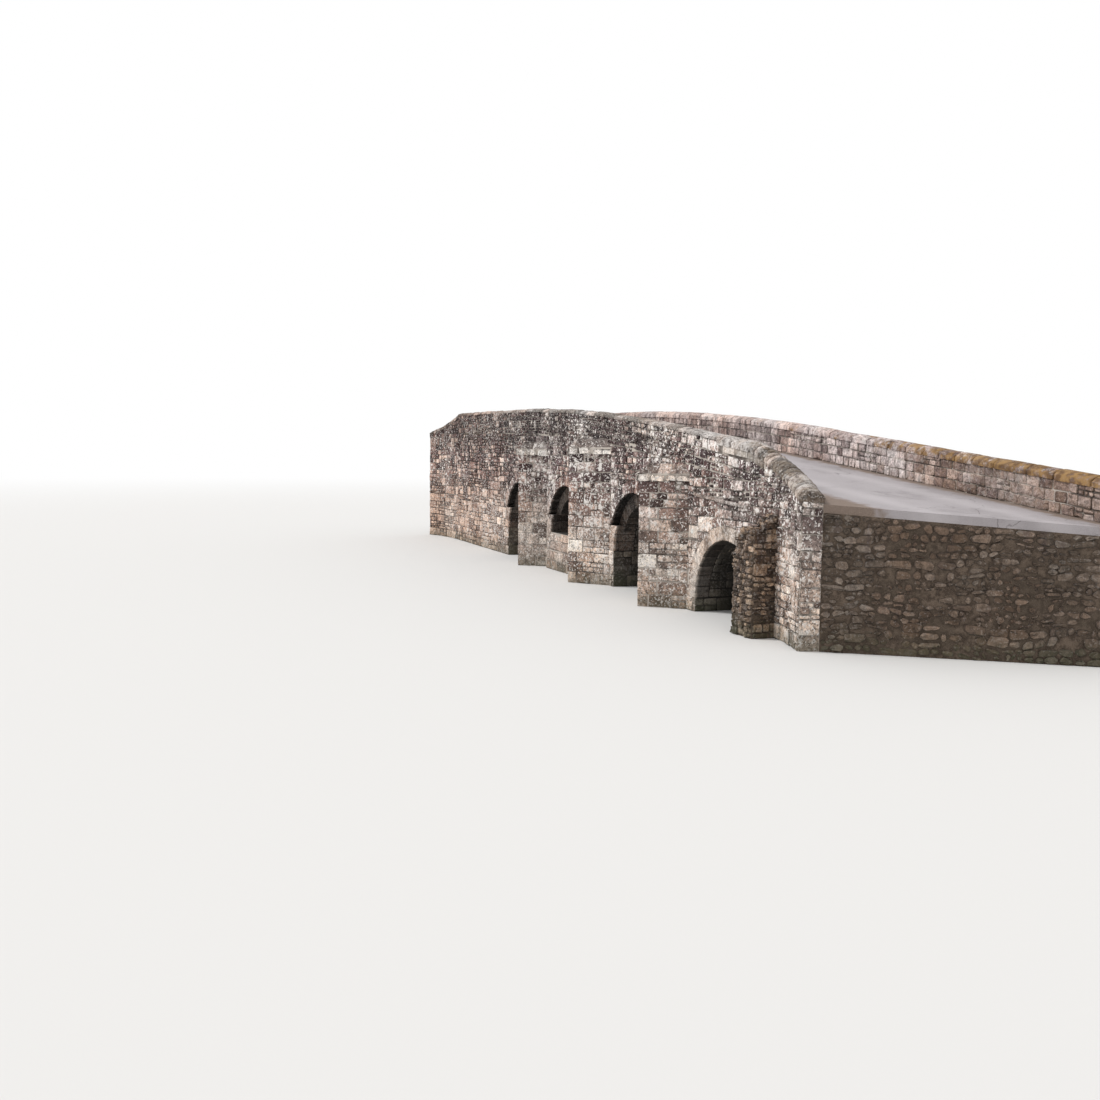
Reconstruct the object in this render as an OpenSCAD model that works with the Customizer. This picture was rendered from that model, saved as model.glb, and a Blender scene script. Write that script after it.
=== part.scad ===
// Hump-backed stone road bridge of four arches.
// Millimetres. +X runs along the bridge, the seen face looks to -Y, z = 0 is the stream bed.

/* [Deck] */
// Width over both wall faces
deck_w = 4400; // [4000:50:5200]
// Thickness of the face walls and parapets
wall_t = 380; // [300:10:450]
// Finished road level at the crown
road_crown = 4080; // [3950:10:4300]
// Thickness of the road surfacing
road_t = 150; // [100:10:200]
// Top of the coping above the road
parapet_h = 780; // [650:10:950]
// Fall of the hump, per million millimetres squared
hump_fall = 4.4; // [3.0:0.1:5.0]

/* [Stream arches] */
// Clear radius of the inner order
inner_r = 1230; // [1150:10:1280]
// Depth of the inner order
inner_ring = 350; // [300:10:400]
// Setback of the inner order behind the wall face
recess = 250; // [150:10:300]
// Depth of the outer order
outer_ring = 300; // [220:10:320]
// Height of the arch centres
arch_z = 940; // [850:10:1000]
// Height at which the outer order springs from the face
shoulder_z = 1600; // [1500:10:1700]

/* [Flood arch] */
// Clear radius of the flood arch
flood_r = 1400; // [1300:10:1450]
// Depth of its ring
flood_ring = 300; // [220:10:320]
// Height of its centre
flood_z = 310; // [250:10:350]

/* [Piers] */
// Projection of cutwater 1
nose_1 = 740; // [600:10:900]
// Projection of cutwater 2
nose_2 = 800; // [600:10:900]
// Projection of cutwater 3
nose_3 = 880; // [700:10:1000]
// Thickness of the cap's eaves course
eave_t = 100; // [70:5:130]
// Overhang of the eaves course
eave_out = 55; // [30:5:80]
// Rise of the cap above its eaves
cap_rise = 250; // [180:10:320]
// Steepness of the cap planes, 1 being a full half pyramid
cap_steep = 3.6; // [1:0.1:5]

/* [Coping] */
// Width of the coping stones
coping_w = 440; // [400:5:480]
// Height of the coping stones
coping_h = 170; // [140:5:200]
// Height of the coping's upright edge
coping_edge = 55; // [30:5:80]
// Length of a straight coping stone with its joint
coping_len = 800; // [600:10:1200]
// Open joint between coping stones
joint = 10; // [6:1:16]

/* [Wings] */
// Radius of the curved wing's outer face
wing_r = 8000; // [7600:50:9000]
// Angle through which a wing turns outward
wing_turn = 20; // [15:1:22]
// Fall of the right wing's top along the bridge, in hundredths
fall_right = 32; // [24:1:36]
// Fall of the left wings' tops, in hundredths
fall_left = 24; // [18:1:26]

/* [Hidden] */
half = deck_w / 2;
inside = half - wall_t;
outer_r = inner_r + inner_ring;
crown_r = outer_r + outer_ring;
bay_x = [-6700, -2470, 2470];
flood_x = 7360;
flood_out = flood_r + flood_ring;
hump_x0 = -8000;
hump_x1 = 4500;
left_x = -14500;
left_end = left_x - (wing_r + wall_t) * sin(wing_turn);
abut_l = -8900;
abut_r = 9200;
wing_x = 8300;
far_end = 14000;
rise_left = 0.01;
reach = 1500;
step = 500;
big = 20000;
lap = 1;
cap_lip = 25;

sandstone = [0.62, 0.52, 0.45];
dark_stone = [0.50, 0.42, 0.39];
pale_stone = [0.72, 0.67, 0.60];
rubble = [0.45, 0.41, 0.37];
tarmac = [0.28, 0.28, 0.28];
rough_stone = [0.42, 0.32, 0.27];
white = [0.90, 0.90, 0.86];

// Pier by pier: left foot, nose, right foot, projection, top of the eaves course.
cut = [[-5120, -4585, -4050, nose_1, 3500],
    [-990, 0, 990, nose_2, 3580],
    [4050, 4815, 5580, nose_3, 3000]];
stem_top = arch_z;

// Level of the road: nearly flat, then a parabola, then a straight ramp.
function hump(x) = hump_fall / 1000000 * pow(min(x, hump_x1) - hump_x0, 2);
function ramp(x) = hump_fall / 500000 * (hump_x1 - hump_x0) * max(x - hump_x1, 0);
function crown(x) = road_crown + rise_left * (hump_x0 - x);
function road_z(x) = x < hump_x0 ? crown(x) : road_crown - hump(x) - ramp(x);
function top_z(x) = road_z(x) + parapet_h - coping_h;
function steps(a, b) = ceil((b - a) / step);
function along(a, b) = [for (i = [0 : steps(a, b)]) a + (b - a) * i / steps(a, b)];
function back(a, b) = [for (i = [steps(a, b) : -1 : 0]) a + (b - a) * i / steps(a, b)];

// An outline in the X-Z plane drawn through the thickness from y0 to y1.
module across(y0, y1) {
    translate([0, y1, 0])
        rotate([90, 0, 0])
            linear_extrude(y1 - y0)
                children();
}

// The band from level z0 up to the road line lowered by d.
module under_road(a, b, z0, d) {
    polygon(concat([[b, z0], [a, z0]], [for (x = along(a, b)) [x, road_z(x) - d]]));
}

module half_ring(x, z, r0, r1) {
    difference() {
        translate([x, z])
            circle(r1, $fn = 288);
        translate([x, z])
            circle(r0, $fn = 288);
        translate([x - big, z - 2 * big])
            square([2 * big, 2 * big]);
    }
}

module above(z) {
    translate([-big, z])
        square([2 * big, big]);
}

module below(z) {
    translate([-big, z - big])
        square([2 * big, big]);
}

// Everything the stream arches take out of the face walls.
module arch_cuts(r_low, r_high) {
    for (x = bay_x) {
        intersection() {
            translate([x, arch_z])
                circle(r_low, $fn = 288);
            below(shoulder_z);
        }
        intersection() {
            translate([x, arch_z])
                circle(r_high, $fn = 288);
            above(shoulder_z);
        }
    }
}

module flood_cut() {
    translate([flood_x, flood_z])
        circle(flood_out, $fn = 288);
}

module masonry_field(b, d) {
    difference() {
        under_road(abut_l, b, stem_top, d);
        flood_cut();
        children();
    }
}

module spandrel(y0, b) {
    across(y0, y0 + wall_t)
        masonry_field(b, 0)
            arch_cuts(outer_r, crown_r);
}

// The wing's annulus in plan, turning away from the road.
module wing_plan(r0, r1, h) {
    rotate([0, 0, 90 - wing_turn])
        rotate_extrude(angle = wing_turn, $fn = 720)
            translate([r0, 0])
                square([r1 - r0, h]);
}

// Cuts everything above a plane that falls along +X from the level z at x = 0.
module fall_cut(z, fall) {
    translate([0, 0, z])
        rotate([0, atan(fall / 100), 0])
            translate([-big / 2, -big / 2, 0])
                cube([big, big, big / 2]);
}

module wing_wall(z, fall) {
    difference() {
        translate([0, -half - wing_r, 0])
            wing_plan(wing_r, wing_r + wall_t, z + 500);
        fall_cut(z, fall);
    }
}

module coping_profile() {
    r = (pow(coping_w / 2, 2) / (coping_h - coping_edge) + coping_h - coping_edge) / 2;
    translate([-coping_w / 2, 0])
        square([coping_w, coping_edge]);
    intersection() {
        translate([0, coping_h - r])
            circle(r, $fn = 288);
        translate([-coping_w / 2, coping_edge - lap])
            square([coping_w, coping_h]);
    }
}

module coping_stone(l) {
    rotate([90, 0, 90])
        linear_extrude(l)
            coping_profile();
}

module coping_run(a, b, y) {
    n = round((b - a) / coping_len);
    w = (b - a) / n;
    for (i = [0 : n - 1]) {
        x0 = a + w * i;
        dz = top_z(x0) - top_z(x0 + w);
        translate([x0, y, top_z(x0)])
            rotate([0, atan2(dz, w), 0])
                translate([joint / 2, 0, 0])
                    coping_stone(sqrt(w * w + dz * dz) - joint);
    }
}

// Short stones set round a wing's curve.
module wing_coping(z, fall) {
    r = wing_r + wall_t / 2;
    n = 11;
    w = wing_turn / n;
    l = r * w * PI / 180 - 3 * joint;
    for (i = [0 : n - 1]) {
        a = w * (i + 0.5);
        x = r * sin(a);
        translate([x, -half - wing_r + r * cos(a), z - x * fall / 100])
            rotate([0, atan(fall / 100), 0])
                rotate([0, 0, -a])
                    translate([-l / 2, 0, 0])
                        coping_stone(l);
    }
}

module cutwater_plan(c, o) {
    polygon([[c[0] - o, 0], [c[1], -c[3] - o], [c[2] + o, 0]]);
}

module cutwater(i) {
    translate([0, -half, 0])
        linear_extrude(cut[i][4] - eave_t)
            cutwater_plan(cut[i], 0);
}

// Cuts above the sloping plane that rises from the eaves edge of one flank.
module flank_cut(w, p) {
    d = w * p / sqrt(w * w + p * p);
    translate([0, -p, 0])
        rotate([0, 0, atan2(p, w)])
            rotate([atan(cap_steep * cap_rise / d), 0, 0])
                translate([-big / 4, -big / 4, 0])
                    cube(big / 2);
}

module cap(i) {
    c = cut[i];
    p = c[3] + eave_out;
    translate([0, -half, c[4] - eave_t])
        linear_extrude(eave_t)
            cutwater_plan(c, eave_out);
    translate([c[1], -half, c[4] - lap])
        difference() {
            translate([-c[1], 0, 0])
                linear_extrude(cap_rise + lap)
                    cutwater_plan(c, eave_out);
            translate([0, 0, cap_lip])
                flank_cut(c[2] - c[1] + eave_out, p);
            translate([0, 0, cap_lip])
                mirror([1, 0, 0])
                    flank_cut(c[1] - c[0] + eave_out, p);
        }
}

module far() {
    mirror([0, 1, 0])
        children();
}

module pier_block(a, b) {
    translate([a, -half, 0])
        cube([b - a, deck_w, stem_top]);
}

module inner_arch(i) {
    across(-half + recess, half - recess)
        half_ring(bay_x[i], arch_z, inner_r, outer_r);
    for (y = [-half, half - recess])
        across(y, y + recess)
            intersection() {
                half_ring(bay_x[i], arch_z, inner_r, outer_r);
                below(shoulder_z);
            }
}

module outer_arch(i) {
    across(-half, -inside)
        intersection() {
            half_ring(bay_x[i], arch_z, outer_r, crown_r);
            above(shoulder_z);
        }
}

// What lies behind the face of a near wing that starts at x.
module wing_front(x) {
    translate([x, -half - wing_r, -lap])
        cylinder(h = big / 2, r = wing_r + wall_t, $fn = 720);
}

// Ground held between the left wings, in plan.
module left_core() {
    difference() {
        translate([left_end, -half - reach, 0])
            cube([left_x - left_end, deck_w + 2 * reach, big / 4]);
        wing_front(left_x);
        far()
            wing_front(left_x);
    }
}

// Ground held between the right wing and the far wall, cut off between their ends.
module right_core() {
    r = wing_r + wall_t;
    difference() {
        linear_extrude(big / 4)
            polygon([[wing_x, inside], [far_end, inside],
                [wing_x + r * sin(wing_turn), -half - wing_r + r * cos(wing_turn)],
                [wing_x, -half - wall_t]]);
        wing_front(wing_x);
    }
}

module abutment_left() {
    color(sandstone) {
        across(-inside, inside)
            under_road(left_x, abut_l, 0, road_t);
        for (y = [-half, inside])
            across(y, y + wall_t)
                under_road(left_x, abut_l, 0, 0);
        translate([abut_l, -half, 0])
            cube([bay_x[0] - inner_r - abut_l, deck_w, stem_top]);
        intersection() {
            across(-half - reach, half + reach)
                under_road(left_end, left_x, 0, road_t);
            left_core();
        }
    }
}

module abutment_right() {
    color(sandstone) {
        difference() {
            union() {
                translate([flood_x + flood_r, -half, 0])
                    cube([abut_r - flood_x - flood_r, deck_w, flood_z]);
                across(-half, half)
                    difference() {
                        translate([flood_x, flood_z])
                            square([abut_r - flood_x, stem_top - flood_z]);
                        flood_cut();
                    }
            }
            wing_front(wing_x);
        }
        intersection() {
            across(-half - reach, inside)
                under_road(abut_r, far_end, 0, road_t);
            right_core();
        }
    }
}

module pier_1() {
    color(sandstone)
        pier_block(bay_x[0] + inner_r, bay_x[1] - inner_r);
}

module pier_2() {
    color(sandstone)
        pier_block(bay_x[1] + inner_r, bay_x[2] - inner_r);
}

module pier_3() {
    color(sandstone) {
        translate([bay_x[2] + inner_r, -half, 0])
            cube([flood_x - flood_r - bay_x[2] - inner_r, deck_w, flood_z]);
        across(-half, half)
            difference() {
                translate([bay_x[2] + inner_r, flood_z])
                    square([flood_x - bay_x[2] - inner_r, stem_top - flood_z]);
                flood_cut();
            }
    }
}

module cutwater_near_1() {
    color(sandstone)
        cutwater(0);
}

module cutwater_near_2() {
    color(sandstone)
        cutwater(1);
}

module cutwater_near_3() {
    color(sandstone)
        cutwater(2);
}

module cutwater_far_1() {
    color(sandstone)
        far()
            cutwater(0);
}

module cutwater_far_2() {
    color(sandstone)
        far()
            cutwater(1);
}

module cutwater_far_3() {
    color(sandstone)
        far()
            cutwater(2);
}

module cap_near_1() {
    color(pale_stone)
        cap(0);
}

module cap_near_2() {
    color(pale_stone)
        cap(1);
}

module cap_near_3() {
    color(pale_stone)
        cap(2);
}

module cap_far_1() {
    color(pale_stone)
        far()
            cap(0);
}

module cap_far_2() {
    color(pale_stone)
        far()
            cap(1);
}

module cap_far_3() {
    color(pale_stone)
        far()
            cap(2);
}

module inner_arch_1() {
    color(pale_stone)
        inner_arch(0);
}

module inner_arch_2() {
    color(pale_stone)
        inner_arch(1);
}

module inner_arch_3() {
    color(pale_stone)
        inner_arch(2);
}

module outer_arch_near_1() {
    color(dark_stone)
        outer_arch(0);
}

module outer_arch_near_2() {
    color(dark_stone)
        outer_arch(1);
}

module outer_arch_near_3() {
    color(dark_stone)
        outer_arch(2);
}

module outer_arch_far_1() {
    color(dark_stone)
        far()
            outer_arch(0);
}

module outer_arch_far_2() {
    color(dark_stone)
        far()
            outer_arch(1);
}

module outer_arch_far_3() {
    color(dark_stone)
        far()
            outer_arch(2);
}

module flood_arch() {
    color(pale_stone)
        across(-half, half)
            half_ring(flood_x, flood_z, flood_r, flood_out);
}

module spandrel_near() {
    color(dark_stone)
        spandrel(-half, wing_x);
}

module spandrel_far() {
    color(dark_stone)
        spandrel(inside, abut_r);
}

module fill() {
    color(rubble)
        across(-inside, inside)
            masonry_field(abut_r, road_t)
                arch_cuts(outer_r, outer_r);
}

module carriageway() {
    color(tarmac) {
        across(-inside, inside)
            road_band(left_x, wing_x);
        intersection() {
            across(-half - reach, inside)
                road_band(wing_x, far_end);
            right_core();
        }
        intersection() {
            across(-half - reach, half + reach)
                road_band(left_end, left_x);
            left_core();
        }
    }
}

module road_band(a, b) {
    polygon(concat([for (x = along(a, b)) [x, road_z(x)]],
        [for (x = back(a, b)) [x, road_z(x) - road_t]]));
}

module parapet_band(a, b) {
    polygon(concat([for (x = along(a, b)) [x, top_z(x)]],
        [for (x = back(a, b)) [x, road_z(x)]]));
}

module parapet_near() {
    color(dark_stone)
        across(-half, -inside)
            parapet_band(left_x, wing_x);
}

module parapet_far() {
    color(dark_stone)
        across(inside, half)
            parapet_band(left_x, abut_r);
}

module left_wing_place() {
    translate([left_x, 0, 0])
        mirror([1, 0, 0])
            children();
}

module coping_near() {
    color(pale_stone) {
        coping_run(left_x, wing_x, -half + wall_t / 2);
        translate([wing_x, 0, 0])
            wing_coping(top_z(wing_x), fall_right);
        left_wing_place()
            wing_coping(top_z(left_x), fall_left);
    }
}

module coping_far() {
    color(pale_stone) {
        coping_run(left_x, far_end, half - wall_t / 2);
        far()
            left_wing_place()
                wing_coping(top_z(left_x), fall_left);
    }
}

module wing_near_right() {
    color(dark_stone)
        difference() {
            translate([wing_x, 0, 0])
                wing_wall(top_z(wing_x), fall_right);
            across(-half - reach, 0) {
                intersection() {
                    flood_cut();
                    above(flood_z);
                }
                translate([flood_x, -lap])
                    square([flood_r, flood_z + 2 * lap]);
            }
        }
}

module wing_near_left() {
    color(dark_stone)
        left_wing_place()
            wing_wall(top_z(left_x), fall_left);
}

module wing_far_left() {
    color(dark_stone)
        far()
            left_wing_place()
                wing_wall(top_z(left_x), fall_left);
}

module wing_far_right() {
    color(dark_stone)
        across(inside, half)
            polygon(concat([[far_end, 0], [abut_r, 0]],
                [for (x = along(abut_r, far_end)) [x, top_z(x)]]));
}

// Low wall across the foot of the second arch, with a step in front of it.
sill_top = 1080;
sill_t = 450;
sill_step_h = 560;
sill_step_out = 120;

module sill_arch_2() {
    color(sandstone) {
        across(-half, -half + sill_t)
            intersection() {
                translate([bay_x[1] - inner_r, 0])
                    square([2 * inner_r, sill_top]);
                union() {
                    translate([bay_x[1], arch_z])
                        circle(inner_r, $fn = 288);
                    below(arch_z);
                }
            }
        translate([bay_x[1] - inner_r, -half - sill_step_out, 0])
            cube([2 * inner_r, sill_step_out, sill_step_h]);
    }
}

// Ragged stub of masonry standing against the wall right of the flood arch.
stub_x = [8850, 9600];
stub_out = 620;
stub_h = 2400;
stub_flat = 280;
stub_notch = [170, 480];
stub_drop = 850;
stub_lean = 35;

module buttress_right() {
    color(rough_stone)
        difference() {
            across(-half - stub_out, -half)
                polygon([[stub_x[0], 0], [stub_x[1], 0], [stub_x[1], stub_h],
                    [stub_x[1] - stub_flat, stub_h],
                    [stub_x[0] + stub_notch[0], stub_h - stub_notch[1]],
                    [stub_x[0], stub_h - stub_drop]]);
            translate([wing_x, -half - wing_r, 0])
                wing_plan(wing_r, wing_r + 2 * wall_t, stub_h + 500);
            translate([0, -half - stub_out, stub_h - 500])
                rotate([stub_lean, 0, 0])
                    translate([stub_x[0] - 500, -2000, 0])
                        cube([2000, 4000, 2000]);
        }
}

// Two thin stones standing proud of the wall above the flood arch.
ledge_out = 45;
ledge_h = 70;

module ledge_course() {
    color(pale_stone)
        across(-half - ledge_out, -half) {
            polygon([[5900, 2650], [5900, 2650 - ledge_h], [8290, 2480 - ledge_h], [8290, 2480]]);
            polygon([[7700, 2330], [7700, 2330 - ledge_h], [8280, 2265 - ledge_h], [8280, 2265]]);
        }
}

// Small round plate on the wall beside pier 3.
disc_at = [5790, 1790];
disc_d = 110;
disc_t = 18;

module marker_disc() {
    color(white)
        translate([disc_at[0], -half, disc_at[1]])
            rotate([90, 0, 0])
                difference() {
                    cylinder(h = disc_t, d = disc_d, $fn = 48);
                    translate([0, 0, disc_t / 2])
                        cylinder(h = disc_t, d = disc_d / 3, $fn = 48);
                }
}

abutment_left();
abutment_right();
pier_1();
pier_2();
pier_3();
cutwater_near_1();
cutwater_near_2();
cutwater_near_3();
cutwater_far_1();
cutwater_far_2();
cutwater_far_3();
cap_near_1();
cap_near_2();
cap_near_3();
cap_far_1();
cap_far_2();
cap_far_3();
inner_arch_1();
inner_arch_2();
inner_arch_3();
outer_arch_near_1();
outer_arch_near_2();
outer_arch_near_3();
outer_arch_far_1();
outer_arch_far_2();
outer_arch_far_3();
flood_arch();
spandrel_near();
spandrel_far();
fill();
carriageway();
parapet_near();
parapet_far();
coping_near();
coping_far();
wing_near_right();
wing_near_left();
wing_far_left();
wing_far_right();
sill_arch_2();
buttress_right();
ledge_course();
marker_disc();
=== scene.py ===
# %% [markdown]
# # A rubble-stone lane bridge
# The bridge comes in as a fixed frame: one object for each wall, arch and pier, in metres.
# Those flat faces are the mortar that the real stones are bedded in. Every visible stone is
# then laid on them: rock-faced rubble on the walls, cut stones in the arches, rounded coping
# on the parapets. Working this way keeps every stone on the surface that carries it.

import bpy
import math
import numpy as np
from contextlib import contextmanager
from mathutils import Vector, Matrix
from types import SimpleNamespace


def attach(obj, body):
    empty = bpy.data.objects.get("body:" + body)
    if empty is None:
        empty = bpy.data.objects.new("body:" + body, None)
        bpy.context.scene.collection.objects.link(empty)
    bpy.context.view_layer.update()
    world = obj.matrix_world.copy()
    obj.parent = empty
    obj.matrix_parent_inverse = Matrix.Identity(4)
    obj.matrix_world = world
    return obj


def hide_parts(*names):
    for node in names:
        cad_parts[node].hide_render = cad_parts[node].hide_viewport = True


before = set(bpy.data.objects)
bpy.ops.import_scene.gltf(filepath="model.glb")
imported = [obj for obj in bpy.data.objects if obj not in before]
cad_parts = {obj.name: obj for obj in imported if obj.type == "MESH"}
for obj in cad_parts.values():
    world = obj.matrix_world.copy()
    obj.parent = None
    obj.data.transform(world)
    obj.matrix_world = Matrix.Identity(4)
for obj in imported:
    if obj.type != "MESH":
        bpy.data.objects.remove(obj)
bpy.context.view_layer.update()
dice = np.random.default_rng(1790)

# %% [markdown]
# The sizes below are the frame's own, written out again so that stones can be laid on it.
# The road climbs a little from the left, is level over the first arch, falls along a
# parabola and then goes down a straight ramp. The parapets and their coping follow it.

# %% Sizes of the bridge
# The walls' faces stand HALF and INSIDE from the middle line. A cutwater's numbers are its
# left foot, nose, right foot, reach beyond the wall, and the height of its eaves.
HALF, INSIDE, PARAPET = 2.2, 1.82, 0.61
BAYS = (-6.7, -2.47, 2.47)
SPRING, SHOULDER = 0.94, 1.6
CLEAR, INNER, OUTER, RECESS = 1.23, 1.58, 1.88, 0.25
FLOOD_X, FLOOD_Z, FLOOD_CLEAR, FLOOD_OUT = 7.36, 0.31, 1.4, 1.7
LEFT, WING_X, FAR_END = -14.5, 8.3, 14.0
WING_Y, WING_R, WALL = 10.2, 8.0, 0.38
WING_MID, WING_TURN = WING_R + WALL / 2, math.radians(20)
CUTWATERS = ((-5.12, -4.585, -4.05, 0.74, 3.5), (-0.99, 0.0, 0.99, 0.80, 3.58),
             (4.05, 4.815, 5.58, 0.88, 3.0))
CROWN_X, CROWN_Z, RAMP_X = -8, 4.08, 4.5
CLIMB, BEND, RAMP = 0.01, 0.0044, 0.11
LEFT_FALL, RIGHT_FALL = 0.24, 0.32


def road_z(x):
    curve = CROWN_Z - BEND * (np.minimum(x, RAMP_X) - CROWN_X) ** 2
    level = curve - RAMP * np.maximum(x - RAMP_X, 0)
    return np.where(x < CROWN_X, CROWN_Z + CLIMB * (CROWN_X - x), level)


def wing_top(x):
    right = road_z(WING_X) + PARAPET - RIGHT_FALL * (x - WING_X)
    left = road_z(LEFT) + PARAPET - LEFT_FALL * (LEFT - x)
    return np.where(x > 0, right, left)


print("road at the crown", float(road_z(CROWN_X)), "and at the wing", float(road_z(WING_X)))

# %% [markdown]
# The camera stands off the right end of the near side and looks along the wall. A lens could
# be tried by eye, but here it follows from the photograph's focal length in pixels, so that
# the render can be compared with the photograph point by point.

# %% Camera
CAMERA_AT = (28.639, -13.683, 3.6)
CAMERA_TURN, CAMERA_DIP, CAMERA_ROLL = (math.radians(a) for a in (19.525, 5.107, 0.622))
FOCAL_PX, FRAME_PX, SENSOR = 1137.7, 1100, 36

bpy.ops.object.camera_add(location=CAMERA_AT)
camera = bpy.context.object
camera.name = "camera"
ahead = Vector((-math.cos(CAMERA_TURN) * math.cos(CAMERA_DIP),
                math.sin(CAMERA_TURN) * math.cos(CAMERA_DIP), -math.sin(CAMERA_DIP)))
turn = ahead.to_track_quat("-Z", "Y").to_matrix() @ Matrix.Rotation(CAMERA_ROLL, 3, "Z")
camera.rotation_euler = turn.to_euler()
camera.data.sensor_width = SENSOR
camera.data.sensor_fit = "HORIZONTAL"
camera.data.lens = SENSOR * FOCAL_PX / FRAME_PX
bpy.context.scene.camera = camera
print("lens", round(camera.data.lens, 2), "mm")

# %% [markdown]
# Stone is never one colour, so its finish is mixed from many small fields of noise. Written
# as node calls that is long and hard to read. The class below wraps a socket, so that
# ordinary sums such as `0.5 * grain + 0.2` add the Math nodes by themselves.

# %% Sums on sockets
def operator(kind, swapped=False):
    def apply(self, other=0.0):
        a, b = (other, self) if swapped else (self, other)
        return self.nodes.node("ShaderNodeMath", {"operation": kind}, {0: a, 1: b})

    return apply


class Wire:
    def __init__(self, nodes, socket):
        self.nodes, self.socket = nodes, socket

    __add__ = __radd__ = operator("ADD")
    __sub__, __rsub__ = operator("SUBTRACT"), operator("SUBTRACT", True)
    __mul__ = __rmul__ = operator("MULTIPLY")
    __truediv__, __rtruediv__ = operator("DIVIDE"), operator("DIVIDE", True)
    __pow__, __rpow__ = operator("POWER"), operator("POWER", True)
    __abs__ = operator("ABSOLUTE")
    most, least = operator("MAXIMUM"), operator("MINIMUM")


print("sums on sockets ready")

# %% One method for every node
class Nodes:
    def __init__(self, tree):
        self.tree = tree

    def feed(self, socket, value):
        if isinstance(value, Wire):
            self.tree.links.new(value.socket, socket)
        else:
            socket.default_value = value

    def node(self, kind, settings=None, inputs=None, out=0):
        node = self.tree.nodes.new(kind)
        for key, value in (settings or {}).items():
            if key == "stops":
                ramp = node.color_ramp.elements
                while len(ramp) < len(value):
                    ramp.new(0.5)
                for stop, (at, colour) in zip(ramp, value):
                    stop.position = at
                    stop.color = (*colour, 1)
            else:
                setattr(node, key, value)
        for key, value in (inputs or {}).items():
            self.feed(node.inputs[key], value)
        return Wire(self, node.outputs[out])


print("node helper ready")

# %% A finish and the nodes it uses most
class Finish(Nodes):
    def __init__(self, name, **fixed):
        self.material = bpy.data.materials.new(name)
        self.material.use_nodes = True
        super().__init__(self.material.node_tree)
        self.shader = self.tree.nodes["Principled BSDF"]
        for socket, value in fixed.items():
            self.shader.inputs[socket.replace("_", " ")].default_value = value

    def place(self, stretch=None):
        at = self.node("ShaderNodeTexCoord", out=3)
        if stretch:
            at = self.node("ShaderNodeMapping", {}, {"Vector": at, "Scale": stretch})
        return at

    def noise(self, at, scale, detail=3.0, rough=0.55, out=0):
        return self.node("ShaderNodeTexNoise", {}, {"Vector": at, "Scale": scale,
                                                    "Detail": detail, "Roughness": rough}, out)

    def cells(self, at, scale, feature="F1"):
        return self.node("ShaderNodeTexVoronoi", {"feature": feature},
                         {"Vector": at, "Scale": scale})

    def span(self, value, low, high):
        return self.node("ShaderNodeMapRange", {"interpolation_type": "SMOOTHSTEP"},
                         {"Value": value, "From Min": low, "From Max": high})

    def attribute(self, name):
        return self.node("ShaderNodeAttribute", {"attribute_name": name}, out=2)

    def ramp(self, value, stops):
        return self.node("ShaderNodeValToRGB", {"stops": stops}, {0: value})

    def mix(self, share, a, b, blend="MIX"):
        a, b = ((*c, 1) if isinstance(c, tuple) else c for c in (a, b))
        return self.node("ShaderNodeMix", {"data_type": "RGBA", "blend_type": blend},
                         {0: share, 6: a, 7: b}, out=2)

    def scaled(self, colour, factor):
        grey = self.node("ShaderNodeCombineColor", {}, {0: factor, 1: factor, 2: factor})
        return self.mix(1.0, colour, grey, "MULTIPLY")

    def parts(self, at):
        return [self.node("ShaderNodeSeparateXYZ", {}, {0: at}, out=k) for k in range(3)]

    # Painted shade: a mask that is 1 behind the wall faces under the arches, where colours are
    # darkened to stand for the shade there.
    def painted_arch_shade(self, at, deep=0.07):
        x, y, z = self.parts(at)
        behind = self.span(abs(y), HALF + 0.005, HALF - deep)
        return behind * self.span(z, 3.1, 2.9) * self.span(abs(x), 9.25, 9.0)

    def finish(self, colour, rough, height, strength, depth):
        bump = self.node("ShaderNodeBump", {}, {"Strength": strength, "Distance": depth,
                                                "Height": height})
        for socket, value in (("Base Color", colour), ("Roughness", rough), ("Normal", bump)):
            self.feed(self.shader.inputs[socket], value)
        return self.material


print("finish helpers ready")

# %% [markdown]
# The wall stone is a red-brown sandstone. It shows as warm buff near its foot and as dark
# purple-brown high up, where it is spotted with white lichen and streaked by rain. Each
# stone gets its own share of this from a number stored on its faces, `tone`, so that
# neighbours differ as they do in a real wall. `rim` is 1 along a stone's edges, where the
# mortar is smeared over it.

# %% Fields of noise, and the parts of the bridge
def survey(f):
    s = SimpleNamespace(at=f.place(), tone=f.attribute("tone"), rim=f.attribute("rim"))
    s.along, _, s.up = f.parts(s.at)
    s.cloud = f.noise(s.at, 0.45, 2.0)
    s.patch = f.noise(s.at, 5.5, 4.0, 0.6)
    s.grain = f.noise(s.at, 42.0, 5.0, 0.7)
    s.height = f.span(s.up + 1.6 * (s.cloud - 0.5), 1.0, 3.2)
    s.left_end = f.span(s.along, -5.0, -12.0)
    s.hump = f.span(s.up + 0.6 * (s.cloud - 0.5), 3.2, 3.9) * f.span(s.along, 6.5, 2.0)
    s.wing = f.span(s.along, 8.2, 9.0) * f.span(s.up, 1.6, 2.6)
    return s


print("fields of noise ready")

# %% Bare stone and its mortared edges
LIME, JOINT_DIRT_AND_SHADE = (0.52, 0.46, 0.40), (0.045, 0.038, 0.034)
COOL, WARM, LEFT_BROWN = (0.96, 0.98, 0.99), (1.08, 0.95, 0.86), (0.97, 0.90, 0.87)


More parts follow.
